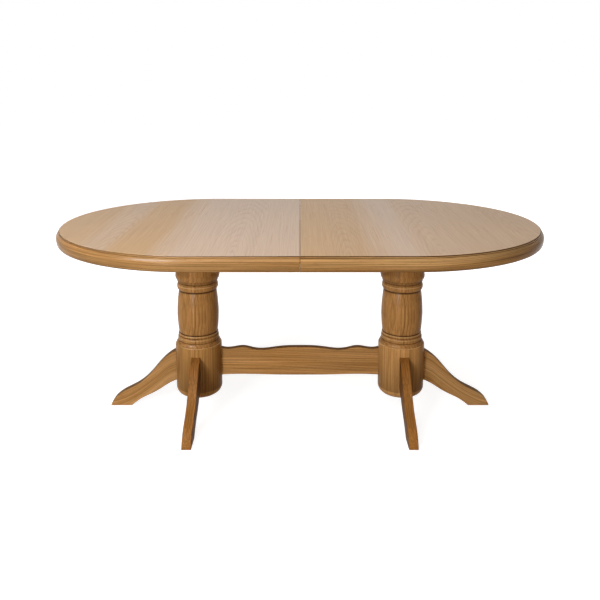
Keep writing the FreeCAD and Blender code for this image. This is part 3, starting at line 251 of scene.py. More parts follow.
def arc(start, through, stop, steps=7):
    """Points of the arc from start through a middle point to stop, without the start itself."""
    a, b, c = complex(*start[:2]), complex(*through), complex(*stop)
    w = (c - a) / (b - a)
    centre = a + (b - a) * (w - abs(w) ** 2) / (2j * w.imag)
    sweep = cmath.phase((b - centre) / (a - centre)) + cmath.phase((c - centre) / (b - centre))
    points = [centre + (a - centre) * cmath.exp(1j * sweep * k / steps)
              for k in range(1, steps + 1)]
    return [(p.real, p.imag) for p in points]


def quarter(start, stop, steps, hollow=False):
    """Quarter round between two points, level at one end and upright at the other."""
    (x0, y0), (x1, y1) = start[:2], stop
    cx, cy = (x1, y0) if hollow else (x0, y1)
    middle = (cx + (x1 - cx + x0 - cx) * math.sqrt(0.5), cy + (y0 - cy + y1 - cy) * math.sqrt(0.5))
    return arc(start, middle, stop, steps)


def outline_mesh(name, points, reach):
    """A closed line of points in millimetres. A third number is the share of painted shade at a
    point and within reach of it, and below zero the share of painted highlight there."""
    mesh = bpy.data.meshes.new(name)
    ring = [(k, (k + 1) % len(points)) for k in range(len(points))]
    mesh.from_pydata([(p[0] * MM, p[1] * MM, 0.0) for p in points], ring, [])
    stain_and_painted_light = mesh.attributes.new("stain_and_painted_light", "FLOAT", "POINT")
    marked = [p for p in points if len(p) > 2]
    stain_and_painted_light.data.foreach_set("value", [max([0.0] + [
        q[2] * max(0.0, 1 - math.dist(p[:2], q[:2]) / reach) for q in marked], key=abs)
        for p in points])
    return mesh


def named_inputs(tree, sockets):
    """Gives a tree its result, its profile and its other inputs, and returns the inputs."""
    tree.interface.new_socket("Geometry", in_out="OUTPUT", socket_type="NodeSocketGeometry")
    tree.interface.new_socket("Profile", in_out="INPUT", socket_type="NodeSocketGeometry")
    for name, kind in sockets:
        tree.interface.new_socket(name, in_out="INPUT", socket_type="NodeSocket" + kind)
    return add(tree, "NodeGroupInput").outputs


def straight_run(tree, given, length):
    """Sweeps the profile along a straight line: X along, -Y and -Z the profile's own x and y."""
    end = add(tree, "ShaderNodeCombineXYZ", {"X": length})
    way = add(tree, "GeometryNodeCurvePrimitiveLine", {"End": end})
    fine = add(tree, "GeometryNodeResampleCurve", {"Curve": way, "Count": given["Steps"]})
    profile = add(tree, "GeometryNodeMeshToCurve", {"Mesh": given["Profile"]})
    swept = add(tree, "GeometryNodeCurveToMesh", {"Curve": fine, "Profile Curve": profile,
                                                  "Fill Caps": given["Capped"]})
    position = add(tree, "GeometryNodeInputPosition")
    return swept, add(tree, "ShaderNodeSeparateXYZ", {"Vector": position}).outputs


def close_tree(tree, mesh, material):
    """Merges doubles, shades smooth and ends the tree."""
    whole = add(tree, "GeometryNodeMergeByDistance", {"Geometry": mesh, "Distance": MERGE_MM * MM})
    smooth = add(tree, "GeometryNodeSetShadeSmooth", {"Geometry": whole})
    real = add(tree, "GeometryNodeRealizeInstances", {"Geometry": smooth})
    coated = add(tree, "GeometryNodeSetMaterial", {"Geometry": real, "Material": material})
    add(tree, "NodeGroupOutput", {0: coated})


def turning_tree():
    """Lathe: the profile, radius by height, is swept once round an upright axis."""
    tree = bpy.data.node_groups.new("turning", "GeometryNodeTree")
    given = named_inputs(tree, (("Steps", "Int"), ("Axis", "Vector"), ("Capped", "Bool"),
                                ("Wood", "Material")))
    mesh, place = straight_run(tree, given, 2 * math.pi)
    radius = add(tree, "ShaderNodeMath", {0: place["Y"], 1: -1.0}, operation="MULTIPLY")
    cosine = add(tree, "ShaderNodeMath", {0: place["X"]}, operation="COSINE")
    sine = add(tree, "ShaderNodeMath", {0: place["X"]}, operation="SINE")
    turned = add(tree, "ShaderNodeCombineXYZ", {
        "X": add(tree, "ShaderNodeMath", {0: radius, 1: cosine}, operation="MULTIPLY"),
        "Y": add(tree, "ShaderNodeMath", {0: radius, 1: sine}, operation="MULTIPLY"),
        "Z": add(tree, "ShaderNodeMath", {0: place["Z"], 1: -1.0}, operation="MULTIPLY")})
    moved = add(tree, "ShaderNodeVectorMath", {0: turned, 1: given["Axis"]})
    bent = add(tree, "GeometryNodeSetPosition", {"Geometry": mesh, "Position": moved})
    close_tree(tree, bent, given["Wood"])
    return tree


def made_by(tree, name, points, body, slot, nodes, reach=PAINTED_LIGHT_REACH, **values):
    """Runs a tree on a profile and keeps the plain mesh as a piece that stands for CAD nodes."""
    source = bpy.data.objects.new(name + "_source", outline_mesh(name + "_profile", points, reach))
    bpy.context.scene.collection.objects.link(source)
    modifier = source.modifiers.new("shape", "NODES")
    modifier.node_group = tree
    for socket in tree.interface.items_tree:
        if socket.in_out == "INPUT" and socket.name in values:
            modifier[socket.identifier] = values[socket.name]
    graph = bpy.context.evaluated_depsgraph_get()
    mesh = bpy.data.meshes.new_from_object(source.evaluated_get(graph))
    source.modifiers.remove(modifier)
    bpy.data.objects.remove(source)
    work = bmesh.new()
    work.from_mesh(mesh)
    bmesh.ops.recalc_face_normals(work, faces=work.faces)
    work.to_mesh(mesh)
    work.free()
    mesh.set_sharp_from_angle(angle=SHARP_ANGLE)
    mesh.name = name
    piece = bpy.data.objects.new(name, mesh)
    bpy.context.scene.collection.objects.link(piece)
    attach(piece, body)
    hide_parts(*nodes)


turning = turning_tree()
pedestal_x = {}
for half in ("left", "right"):
    low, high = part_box(half + "_hub")
    pedestal_x[half] = (low[0] + high[0]) / 2
    radius = (high[0] - low[0]) / 2 / MM
    bottom, top = low[2] / MM, high[2] / MM
    ceiling = top - HUB_CEILING
    socket = top - SPIGOT_SOCKET_DEPTH
    profile = [(HUB_HOLLOW_RADIUS, bottom + HUB_MOUTH_ARRIS),
               (HUB_HOLLOW_RADIUS + HUB_MOUTH_ARRIS, bottom), (radius - HUB_ROUND, bottom)]
    profile += quarter(profile[-1], (radius, bottom + HUB_ROUND), HUB_ROUND_STEPS)
    profile[-1] += (HUB_ROUND_SHADE,)
    profile += [(radius, top - HUB_ARRIS)]
    arris = quarter(profile[-1], (radius - HUB_ARRIS, top), HUB_ARRIS_STEPS, hollow=True)
    arris[HUB_ARRIS_STEPS // 2] += (HUB_ARRIS_HIGHLIGHT,)
    profile += arris
    profile += [(SPIGOT_SOCKET_RADIUS, top), (SPIGOT_SOCKET_RADIUS, socket),
                (ROD_BORE_RADIUS, socket), (ROD_BORE_RADIUS, ceiling), (HUB_HOLLOW_RADIUS, ceiling)]
    hub_oak = oak_board("lacquered_oak_hub_" + half, (pedestal_x[half], 0.0, HUB_GROWN_AT[half]),
                        UPRIGHT, STAVE_MM, honey=HUB_HONEY[half], pale=HUB_PALE[half], wander=9.0,
                        taper=0.02, sheen=0.28, gloss_level=0.03)
    made_by(turning, half + "_turned_hub", profile, "base", "oak_turned", [half + "_hub"],
            Steps=TURNING_STEPS, Axis=(pedestal_x[half], 0.0, 0.0), Capped=False, Wood=hub_oak)

# Columns: solid oak turnings between hub and top, with a spigot in the hub below.
# From the foot up they have a flared foot, a ring and a bead, a barrel, a second ring and a
# bowl-shaped capital, with quirks cut between them by the point of a chisel.
SPIGOT_RADIUS = 38
FINE_GROOVE = 1.2
QUIRK = 3.0
FOOT_RADIUS = 88
FOOT_EDGE = 3
FOOT_HEIGHT = 14
FOOT_HOLLOW_RADIUS = 85.7
NECK_RADIUS = 81
NECK_GROOVE_RADIUS = 78.2
RING_RADIUS = 79.4
RING_FULL_RADIUS = 81.8
RING_HEIGHT = 19
BEAD_GROOVE_RADIUS = 76.6
BEAD_RADIUS = 77.8
BEAD_FULL_RADIUS = 79.4
BEAD_HEIGHT = 10
LOWER_QUIRK_RADIUS = 75.3
UPPER_RING_RADIUS = 77.4
UPPER_RING_FULL_RADIUS = 81.6
UPPER_RING_HEIGHT = 27
UPPER_QUIRK_RADIUS = 74.9
COLLAR_RADIUS = 79.4
COLLAR_HEIGHT = 5
FILLET_RADIUS = 81
FILLET_HEIGHT = 4.5
FILLET_GROOVE_RADIUS = 79.8
BOWL_HEIGHT = 94
BOWL_LIP_RADIUS = 82.5
# Radius and height above the bowl's lip, where it is fullest and where it turns upright.
BOWL_FULL = (87.5, 12)
BOWL_TOP = (84.5, 26)
BOWL_STEPS = 14
# Radius and share of the barrel's height, below its fullest place, there, and above it.
BARREL_LOW, BARREL_FULL, BARREL_HIGH = (80.45, 0.2), (82.4, 0.42), (80.2, 0.72)
BARREL_FOOT_RADIUS = 77
BARREL_TOP_RADIUS = 74.5
BARREL_STEPS = (12, 16)
# How far sharp edges are eased, inwards and in height.
FOOT_EASE = (0.5, 0.6)
BARREL_EASE = (0.4, 0.6)
COLLAR_EASE = (0.4, 0.5)
FILLET_EASE = (0.4, 0.4)
RING_STEPS, BEAD_STEPS, UPPER_RING_STEPS = 10, 7, 12
# Painted highlights on the crests of the rings and the bead, a little above their middle.
RING_HIGHLIGHT, BEAD_HIGHLIGHT, UPPER_RING_HIGHLIGHT = -0.4, -0.4, -0.6
HIGHLIGHT_PLACE = 0.7
# Where the columns' figure starts, in metres from the pedestal's foot.
COLUMN_GROWN_AT = (0.013, 0.0, 0.4)


def swelling(start, full_radius, height, steps, highlight):
    """A rounded band from start up to the same radius, with a painted highlight a little above its
    middle.
    """
    radius, bottom = start[:2]
    points = arc(start, (full_radius, bottom + height / 2), (radius, bottom + height), steps)
    points[round(HIGHLIGHT_PLACE * steps) - 1] += (highlight,)
    return points


for half in ("left", "right"):
    low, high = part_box(half + "_column")
    spigot, top = low[2] / MM, high[2] / MM
    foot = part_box(half + "_hub")[1][2] / MM
    neck = foot + FOOT_HEIGHT
    ring = neck + FINE_GROOVE
    ring_top = ring + RING_HEIGHT
    bead = ring_top + FINE_GROOVE
    bead_top = bead + BEAD_HEIGHT
    barrel = bead_top + QUIRK
    bowl = top - BOWL_HEIGHT
    fillet_top = bowl - FINE_GROOVE
    fillet = fillet_top - FILLET_HEIGHT
    collar = fillet - COLLAR_HEIGHT
    upper_top = collar - QUIRK
    upper = upper_top - UPPER_RING_HEIGHT
    barrel_top = upper - QUIRK
    # The third numbers are painted shade in the quirks and grooves and on the edges beside them.
    profile = [(ROD_BORE_RADIUS, spigot), (SPIGOT_RADIUS, spigot), (SPIGOT_RADIUS, foot),
               (FOOT_RADIUS - FOOT_EASE[0], foot), (FOOT_RADIUS, foot + FOOT_EASE[1]),
               (FOOT_RADIUS, foot + FOOT_EDGE)]
    profile += arc(profile[-1], (FOOT_HOLLOW_RADIUS, (foot + FOOT_EDGE + neck) / 2),
                   (NECK_RADIUS, neck))
    profile += [(NECK_GROOVE_RADIUS, neck, 0.7), (NECK_GROOVE_RADIUS, ring, 0.7),
                (RING_RADIUS, ring, 0.4)]
    profile += swelling(profile[-1], RING_FULL_RADIUS, RING_HEIGHT, RING_STEPS, RING_HIGHLIGHT)
    profile += [(BEAD_GROOVE_RADIUS, ring_top, 0.8), (BEAD_GROOVE_RADIUS, bead, 0.8),
                (BEAD_RADIUS, bead, 0.5)]
    profile += swelling(profile[-1], BEAD_FULL_RADIUS, BEAD_HEIGHT, BEAD_STEPS, BEAD_HIGHLIGHT)
    profile += [(LOWER_QUIRK_RADIUS, bead_top, 1), (LOWER_QUIRK_RADIUS, barrel, 1),
                (BARREL_FOOT_RADIUS - BARREL_EASE[0], barrel, 0.5),
                (BARREL_FOOT_RADIUS, barrel + BARREL_EASE[1])]
    lower, fullest, higher = [(radius, barrel + share * (barrel_top - barrel))
                              for radius, share in (BARREL_LOW, BARREL_FULL, BARREL_HIGH)]
    profile += arc(profile[-1], lower, fullest, BARREL_STEPS[0])
    profile += arc(profile[-1], higher, (BARREL_TOP_RADIUS, barrel_top), BARREL_STEPS[1])
    profile[-1] += (1,)
    profile += [(BARREL_TOP_RADIUS, upper, 1), (UPPER_RING_RADIUS, upper, 0.8)]
    profile += swelling(profile[-1], UPPER_RING_FULL_RADIUS, UPPER_RING_HEIGHT, UPPER_RING_STEPS,
                        UPPER_RING_HIGHLIGHT)
    profile += [(UPPER_QUIRK_RADIUS, upper_top, 1), (UPPER_QUIRK_RADIUS, collar, 1),
                (COLLAR_RADIUS - COLLAR_EASE[0], collar, 0.4),
                (COLLAR_RADIUS, collar + COLLAR_EASE[1]), (COLLAR_RADIUS, fillet - FILLET_EASE[1]),
                (FILLET_GROOVE_RADIUS, fillet, 0.5), (FILLET_RADIUS - FILLET_EASE[0], fillet, 0.3),
                (FILLET_RADIUS, fillet + FILLET_EASE[1]), (FILLET_RADIUS, fillet_top),
                (FILLET_GROOVE_RADIUS, fillet_top, 0.7), (FILLET_GROOVE_RADIUS, bowl, 0.7),
                (BOWL_LIP_RADIUS, bowl, 0.4)]
    profile += arc(profile[-1], (BOWL_FULL[0], bowl + BOWL_FULL[1]),
                   (BOWL_TOP[0], bowl + BOWL_TOP[1]), BOWL_STEPS)
    profile += [(BOWL_TOP[0], top), (ROD_BORE_RADIUS, top)]
    grown_at = (pedestal_x[half] + COLUMN_GROWN_AT[0], *COLUMN_GROWN_AT[1:])
    column_oak = oak_board("lacquered_oak_column_" + half, grown_at, UPRIGHT, STAVE_MM, wander=9.0,
                           taper=0.02, sheen=0.26, gloss_level=0.04)
    made_by(turning, half + "_turned_column", profile, "base", "oak_turned", [half + "_column"],
            Steps=TURNING_STEPS, Axis=(pedestal_x[half], 0.0, 0.0), Capped=False, Wood=column_oak)

# Legs: boards of oak, bandsawn to an S and rounded over along their edges.
# Each is scribed to its hub and drawn up by two bolts, and its grain follows its curve.
FACE_SHADE = 0.6
FACE_SHADE_SPAN = {"From Min": 0.25, "From Max": 0.75}
# The front and back legs get a darker copy of the oak, in part painted shade.
FRONT_HONEY = "#8c5b27"
FRONT_PALE = "#956735"
LEG_HEART_ASIDE = 0.11
# The leg's middle line: share of its reach from the hub, and share of its height.
LEG_MIDDLE = ((0.0, 0.72), (0.12, 0.65), (0.23, 0.55), (0.40, 0.385), (0.585, 0.24), (0.78, 0.12),
              (1.0, 0.03))
# The way each leg leaves its hub, in degrees.
LEG_TURNS = {"left_outer": 180, "right_outer": 0, "left_front": -90, "right_front": -90,
             "left_back": 90, "right_back": 90}


def painted_face_shade(tree, axis="Z"):
    """Painted shade on faces that point along one axis, and less on others: the edges of the outer
    legs and the stretcher, which lie in the table's shade, and the sides of the front and back
    legs.
    """
    normal = add(tree, "ShaderNodeTexCoord").outputs["Normal"]
    facing = add(tree, "ShaderNodeSeparateXYZ", {"Vector": normal})
    turned = add(tree, "ShaderNodeMath", {0: facing.outputs[axis]}, operation="ABSOLUTE")
    return add(tree, "ShaderNodeMapRange", {"Value": turned, **FACE_SHADE_SPAN, "To Max": FACE_SHADE})


def leg_oak(name, foot, turn, start, reach, height):
    """Oak along a leg, from start to reach in metres, with its grain along LEG_MIDDLE."""
    material, tree = new_material(name)
    own = laid_out(tree, foot, (0, 0, turn))
    part = add(tree, "ShaderNodeSeparateXYZ", {"Vector": own}).outputs
    share = add(tree, "ShaderNodeMapRange", {"Value": part["X"], "From Min": start,
                                             "From Max": reach})
    middle = add(tree, "ShaderNodeValToRGB", {"Fac": share},
                 stops=[(along, (up, up, up, 1)) for along, up in LEG_MIDDLE])
    middle.color_ramp.interpolation = "B_SPLINE"
    drop = add(tree, "ShaderNodeMath", {0: middle, 1: -height, 2: part["Z"]},
               operation="MULTIPLY_ADD")
    wood = add(tree, "ShaderNodeCombineXYZ", {"X": part["X"], "Y": part["Y"], "Z": drop})
    wood = wood.outputs["Vector"]
    cloud = streaks(tree, wood, *PATCH_MM, detail=1.0)
    tone = add(tree, "ShaderNodeMapRange", {"Value": cloud, **NOISE_SPAN})
    outer = turn in (0, 180)
    colours = (OAK_HONEY, OAK_PALE) if outer else (FRONT_HONEY, FRONT_PALE)
    # The outer legs' edges and the other legs' sides get painted shade.
    oak_finish(tree, wood, tone, LEG_HEART_ASIDE, painted_face_shade(tree, "Z" if outer else "X"), *colours,
               heart_depth=60.0, taper=0.0, wander=10.0, sheen=0.45)
    return material


def dress(material, nodes):
    """Gives CAD nodes a material."""
    for name in nodes:
        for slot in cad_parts[name].material_slots:
            slot.material = material


for part, turn in LEG_TURNS.items():
    low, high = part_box(part + "_leg")
    x = pedestal_x[part.split("_")[0]]
    way = (round(math.cos(math.radians(turn))), round(math.sin(math.radians(turn))))
    start, reach = sorted((corner[0] - x) * way[0] + corner[1] * way[1] for corner in (low, high))
    dress(leg_oak("lacquered_oak_leg_" + part, (x, 0.0, 0.0), turn, start, reach, high[2]),
          [part + "_leg"])

# Stretcher: one oak board with a wavy top edge, between the two hubs.
# Its ends are scribed to the hubs and bolted from inside them.
ALONG = (0, 0, 0)
STRETCHER_GROWN_AT = (0.05, 0.04, 0.2)
# The stretcher's edges get painted shade.
dress(oak_board("lacquered_oak_stretcher", STRETCHER_GROWN_AT, ALONG, stained_and_shaded=painted_face_shade,
                wander=14.0, sheen=0.45), ["stretcher"])

# Bolts, nuts, tie rods and screws: steel, rolled and turned, with a bright zinc coat.
# The bolts draw legs and stretcher to the hubs, and a rod ties each pedestal from hub to bearer.
ZINC = "#b9bcbe"
ZINC_DULL = "#8e9294"
CLOUD_SPAN = {"From Min": 0.35, "From Max": 0.65}
SCRATCH_STRETCH = 8
SCRATCH_RELIEF_MM = 0.05
SCRATCH_STRENGTH = 0.15
SMOOTHER, ROUGHER = 0.08, 0.1


def clouded(name, bright, dull, metallic, rough, patch_mm, scratch_mm):
    """A metal or plastic with cloudy patches and fine marks, drawn wide enough to show."""
    material, tree = new_material(name)
    place = add(tree, "ShaderNodeTexCoord").outputs["Object"]
    patch = streaks(tree, place, patch_mm, patch_mm, detail=3.0)
    cloud = add(tree, "ShaderNodeMapRange", {"Value": patch, **CLOUD_SPAN})
    mark = streaks(tree, place, scratch_mm * SCRATCH_STRETCH, scratch_mm)
    colour = add(tree, "ShaderNodeMix", {"Factor": cloud, "A": linear(bright), "B": linear(dull)},
                 data_type="RGBA")
    bump = add(tree, "ShaderNodeBump", {"Height": mark, "Strength": SCRATCH_STRENGTH,
                                        "Distance": SCRATCH_RELIEF_MM * MM})
    wear_and_highlight = add(tree, "ShaderNodeMapRange", {"Value": mark, **NOISE_SPAN, "To Min": rough - SMOOTHER,
                                            "To Max": rough + ROUGHER})
    surface = add(tree, "ShaderNodeBsdfPrincipled", {
        "Base Color": colour, "Metallic": metallic, "Normal": bump, "Roughness": wear_and_highlight})
    add(tree, "ShaderNodeOutputMaterial", {"Surface": surface})
    return material


zinc = clouded("zinc_plated_steel", ZINC, ZINC_DULL, metallic=1.0, rough=0.34, patch_mm=3.0,
               scratch_mm=0.4)
dress(zinc, ["leg_bolts", "leg_nuts", "stretcher_bolts", "stretcher_nuts", "left_tie_rod",
             "right_tie_rod", "tie_rod_nuts", "rail_screws", "left_batten_screws",
             "right_batten_screws", "left_runner_screws", "right_runner_screws", "lock_screws"])

# Glides: small nylon discs pressed into the underside of each toe, which keep the wood off the
# floor. Moulded, with a matt face scuffed by use.
NYLON = "#d9d5c8"
NYLON_SCUFFED = "#b5ae9d"
dress(clouded("moulded_nylon", NYLON, NYLON_SCUFFED, metallic=0.0, rough=0.5, patch_mm=2.5,
              scratch_mm=0.5), ["foot_glides"])

# Bearers, rails and tie: plain beech, planed and left unstained, on top of the columns.
# The bearers sit on the columns, and the grooved rails are screwed to them and to the tie.
BEECH_PALE = "#cfae82"
BEECH = "#c09a6c"
BEECH_RAY = "#8f6a43"
BEECH_IOR = 1.5
BEECH_TONE_MM = (400, 30)
BEECH_RAY_MM = (9, 1.2)
BEECH_FIBRE_MM = (120, 2.5)
BEECH_RAYS = {"From Min": 0.58, "From Max": 0.72, "To Max": 0.45}
BEECH_SHADE = {"From Min": 0.25, "From Max": 0.75, "To Min": 0.88, "To Max": 1.08}
BEECH_ROUGHNESS = {"From Min": 0.2, "From Max": 0.8, "To Min": 0.62, "To Max": 0.5}
BEECH_RELIEF_MM = 0.2
BEECH_STRENGTH = 0.2
ACROSS = (0, 0, 90)


def beech_board(name, turn):
    """Even pinkish wood with short dark rays, which are 2 mm long and drawn longer to show."""
    material, tree = new_material(name)
    wood = laid_out(tree, (0.0, 0.0, 0.0), turn)
    tone = add(tree, "ShaderNodeMapRange", {"Value": streaks(tree, wood, *BEECH_TONE_MM),
                                            **NOISE_SPAN})
    ray = add(tree, "ShaderNodeMapRange", {"Value": streaks(tree, wood, *BEECH_RAY_MM, detail=1.0),
                                           **BEECH_RAYS})
    fibre = streaks(tree, wood, *BEECH_FIBRE_MM, detail=3.0)
    body = add(tree, "ShaderNodeMix", {"Factor": tone, "A": linear(BEECH),
                                       "B": linear(BEECH_PALE)}, data_type="RGBA")
    shade = add(tree, "ShaderNodeMapRange", {"Value": fibre, **BEECH_SHADE})
    shaded = add(tree, "ShaderNodeVectorMath", {0: body, "Scale": shade}, operation="SCALE")
    colour = add(tree, "ShaderNodeMix", {"Factor": ray, "A": shaded, "B": linear(BEECH_RAY)},
                 data_type="RGBA")
    bump = add(tree, "ShaderNodeBump", {"Height": fibre, "Strength": BEECH_STRENGTH,
                                        "Distance": BEECH_RELIEF_MM * MM})
    planed = add(tree, "ShaderNodeMapRange", {"Value": fibre, **BEECH_ROUGHNESS})
    surface = add(tree, "ShaderNodeBsdfPrincipled", {
        "Base Color": colour, "Roughness": planed, "IOR": BEECH_IOR, "Normal": bump})
    add(tree, "ShaderNodeOutputMaterial", {"Surface": surface})
    return material


beech_along = beech_board("planed_beech_along", ALONG)
beech_across = beech_board("planed_beech_across", ACROSS)
beech_upright = beech_board("planed_beech_upright", UPRIGHT)
dress(beech_along, ["front_rail", "back_rail"])
dress(beech_across, ["left_bearer", "right_bearer", "centre_tie"])
dress(beech_upright, ["stop_pins", "column_dowels"])

# Battens and runners: beech under each half top. The battens keep the panel flat, and the tongued
# runners hang in the rails' grooves and slide in them.
for half in ("left", "right"):
    dress(beech_across, [half + "_seam_batten", half + "_middle_batten", half + "_end_batten"])
    dress(beech_along, [half + "_front_runner", half + "_back_runner"])

# Panels: board cores faced with oak veneer laid in leaves across the table, under satin lacquer.
# Each leaf comes from another stretch of the log, so their tones differ, and the grain runs from
# front to back. One panel is fixed to each half's battens.
TOP_HALF_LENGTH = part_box("right_edge_end")[1][0]
TOP_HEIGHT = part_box("left_panel")[1][2] / MM
VENEER_HONEY = "#aa875c"
VENEER_PALE = "#b49c88"
VENEER_EARLY = "#8a6744"
SEAM_STAIN_MM = 2.4
SEAM_STAIN = 0.6
# The band of the panels' rim below the top, darkened with painted shade. The shade is weaker on
# the left, and grows between the two places along the table.
RIM_SHADE_MM = (6.0, 0.9)
LEDGE_SHADE = {"left": 0.55, "right": 1.0}
RIM_SHADE_RISE_MM = (-450, 0)
# A leaf's edge strays by a share of the table's length, and not near the seam.
LEAF_EDGE_MM = (600, 22)
LEAF_STRAY = 0.02
SEAM_CALM_MM = 80
LEAF_BLEND_MM = 28.0
LEAF_LINE_SHARE = 0.42
# The furthest that a leaf's heart may lie from the seam, in metres.
HEART_REACH = 2.0
# Each leaf's start along the table, its tone from honey to pale, where its heart lay along the
# table, and how strong its lines are; places are millimetres from the seam.
LEAVES = ((-935, 0.12, -1150, 0.3), (-745, 0.55, -665, 1.0), (-640, 0.02, -950, 0.3),
          (-480, 0.6, -760, 0.4), (-420, 0.93, -760, 0.4), (-300, 0.97, -222, 0.85),
          (-150, 0.92, -420, 0.35), (0, 0.1, -230, 0.35), (105, 0.14, 160, 1.0),
          (235, 0.5, 560, 0.3), (300, 0.88, 560, 0.3), (400, 0.52, 470, 0.9),
          (560, 0.4, 930, 0.4), (740, 0.32, 835, 0.6))


def beside_seam(tree, x):
    """Distance from the seam, and the stain that gathers along it."""
    away = add(tree, "ShaderNodeMath", {0: x}, operation="ABSOLUTE")
    stain_and_painted_light = add(tree, "ShaderNodeMapRange", {
        "Value": away, "From Min": SEAM_STAIN_MM * MM, "From Max": SEAM_STAIN_MM / 2 * MM,
        "To Max": SEAM_STAIN})
    return away, stain_and_painted_light


def veneer(name):
    """Leaves of oak side by side along the table, whose edges stray a little and blend."""
    material, tree = new_material(name)
    wood = laid_out(tree, (0.0, 0.0, TOP_HEIGHT * MM), ACROSS)
    place = add(tree, "ShaderNodeTexCoord").outputs["Object"]
    part = add(tree, "ShaderNodeSeparateXYZ", {"Vector": place}).outputs
    from_seam, at_seam = beside_seam(tree, part["X"])
    share = add(tree, "ShaderNodeMapRange", {"Value": part["X"], "From Min": -TOP_HALF_LENGTH,
                                             "From Max": TOP_HALF_LENGTH})
    stray = add(tree, "ShaderNodeMapRange", {"Value": streaks(tree, wood, *LEAF_EDGE_MM),
                                             "To Min": -LEAF_STRAY, "To Max": LEAF_STRAY})
    inside = add(tree, "ShaderNodeMapRange", {"Value": from_seam, "From Max": SEAM_CALM_MM * MM})
    shifted = add(tree, "ShaderNodeMath", {0: stray, 1: inside, 2: share},
                  operation="MULTIPLY_ADD")
    leaf_stops, tone_stops = [], []
    for start, tone, heart, strength in LEAVES:
        here = 0.5 + start * MM / TOP_HALF_LENGTH / 2
        near = (LEAF_BLEND_MM if start else SEAM_STAIN_MM / 4) * MM / TOP_HALF_LENGTH / 2
        leaf_stops += [(here, (0.5 + heart * MM / HEART_REACH / 2, strength, 0.0, 1))]
        if tone_stops:
            tone_stops += [(here - near, tone_stops[-1][1])]
            here += near
        tone_stops += [(here, (tone, tone, tone, 1))]
    leaf = add(tree, "ShaderNodeValToRGB", {"Fac": share}, stops=leaf_stops)
    leaf.color_ramp.interpolation = "CONSTANT"
    blend = add(tree, "ShaderNodeValToRGB", {"Fac": shifted}, stops=tone_stops)
    kept = add(tree, "ShaderNodeSeparateColor", {"Color": leaf}).outputs
    aside = add(tree, "ShaderNodeMapRange", {"Value": kept["Red"], "To Min": -HEART_REACH,
                                             "To Max": HEART_REACH})
    line_share = add(tree, "ShaderNodeMath", {0: kept["Green"], 1: LEAF_LINE_SHARE},
                     operation="MULTIPLY")
    # Painted shade on the rim's band, weaker on the left half.
    low, high = [(TOP_HEIGHT - drop) * MM for drop in RIM_SHADE_MM]
    over = add(tree, "ShaderNodeMath", {0: part["Z"], 1: low}, operation="GREATER_THAN")
    under = add(tree, "ShaderNodeMath", {0: part["Z"], 1: high}, operation="LESS_THAN")
    rim = add(tree, "ShaderNodeMath", {0: over, 1: under}, operation="MULTIPLY")
    painted_light_share = add(tree, "ShaderNodeMapRange", {
        "Value": part["X"], "From Min": RIM_SHADE_RISE_MM[0] * MM, "From Max": RIM_SHADE_RISE_MM[1] * MM,
        "To Min": LEDGE_SHADE["left"], "To Max": LEDGE_SHADE["right"]})
    at_rim = add(tree, "ShaderNodeMath", {0: rim, 1: painted_light_share}, operation="MULTIPLY")
    stain_and_painted_light = add(tree, "ShaderNodeMath", {0: at_seam, 1: at_rim}, operation="MAXIMUM")
    oak_finish(tree, wood, blend, aside, stain_and_painted_light, VENEER_HONEY, VENEER_PALE, VENEER_EARLY, ring=11.0,
               heart_depth=70.0, taper=0.12, line_share=line_share, figure=0.3, pores=0.05,
               sheen=0.3, gloss_level=0.05)
    return material


dress(veneer("lacquered_oak_veneer"), ["left_panel", "right_panel"])

# Edge mouldings: solid oak lipping, run on a spindle moulder and glued under and round each panel.
# A fine ledge and step, darkened with painted shade, lie below the panel, and a broad round below
# that.
# The ledge's arrises carry painted highlights, stronger on the left half than on the right, and its
# painted shade is weaker there.
LIP_OVERHANG = 13
LIP_SEAT = -45
GLUE_LINE = 0.1
LEDGE_DROP = 4
STEP_DROP = 8
NOSE_DROP = 27
FOOT_DROP = 53
LEDGE_OUT = 4
QUIRK_HEIGHT = 1.4
QUIRK_OUT = 2.5
# Places that the round passes, out from the panel's rim and in height: below the step, below the
# nose and above the foot.
ROUND_ABOVE = (10.1, 7.2)
ROUND_BELOW = (12.0, 11.3)
ROUND_FOOT = (9, 4)
FOOT_OUT = 5
ROUND_STEPS = (12, 9, 6)
LIP_PAINTED_LIGHT_REACH = 1.0
# How strong the ledge's painted highlights are on each half.
LEDGE_HIGHLIGHT = {"left": 1.0, "right": 0.3}
EDGE_HONEY = "#956d40"
EDGE_PALE = "#a17e52"
EDGE_PATCH_MM = (500, 40)
EDGE_HEART_ASIDE = 0.02
EDGE_GROWN_AT = (0.0, 0.03, 0.62)
SIDE_STEPS, BEND_STEPS, TIP_STEPS = 9, 33, 65
EIGHTH = math.pi / 4
# The right half's lipping is cut from further along the log, past two lengths and this, in metres.
LOG_WASTE = 0.4


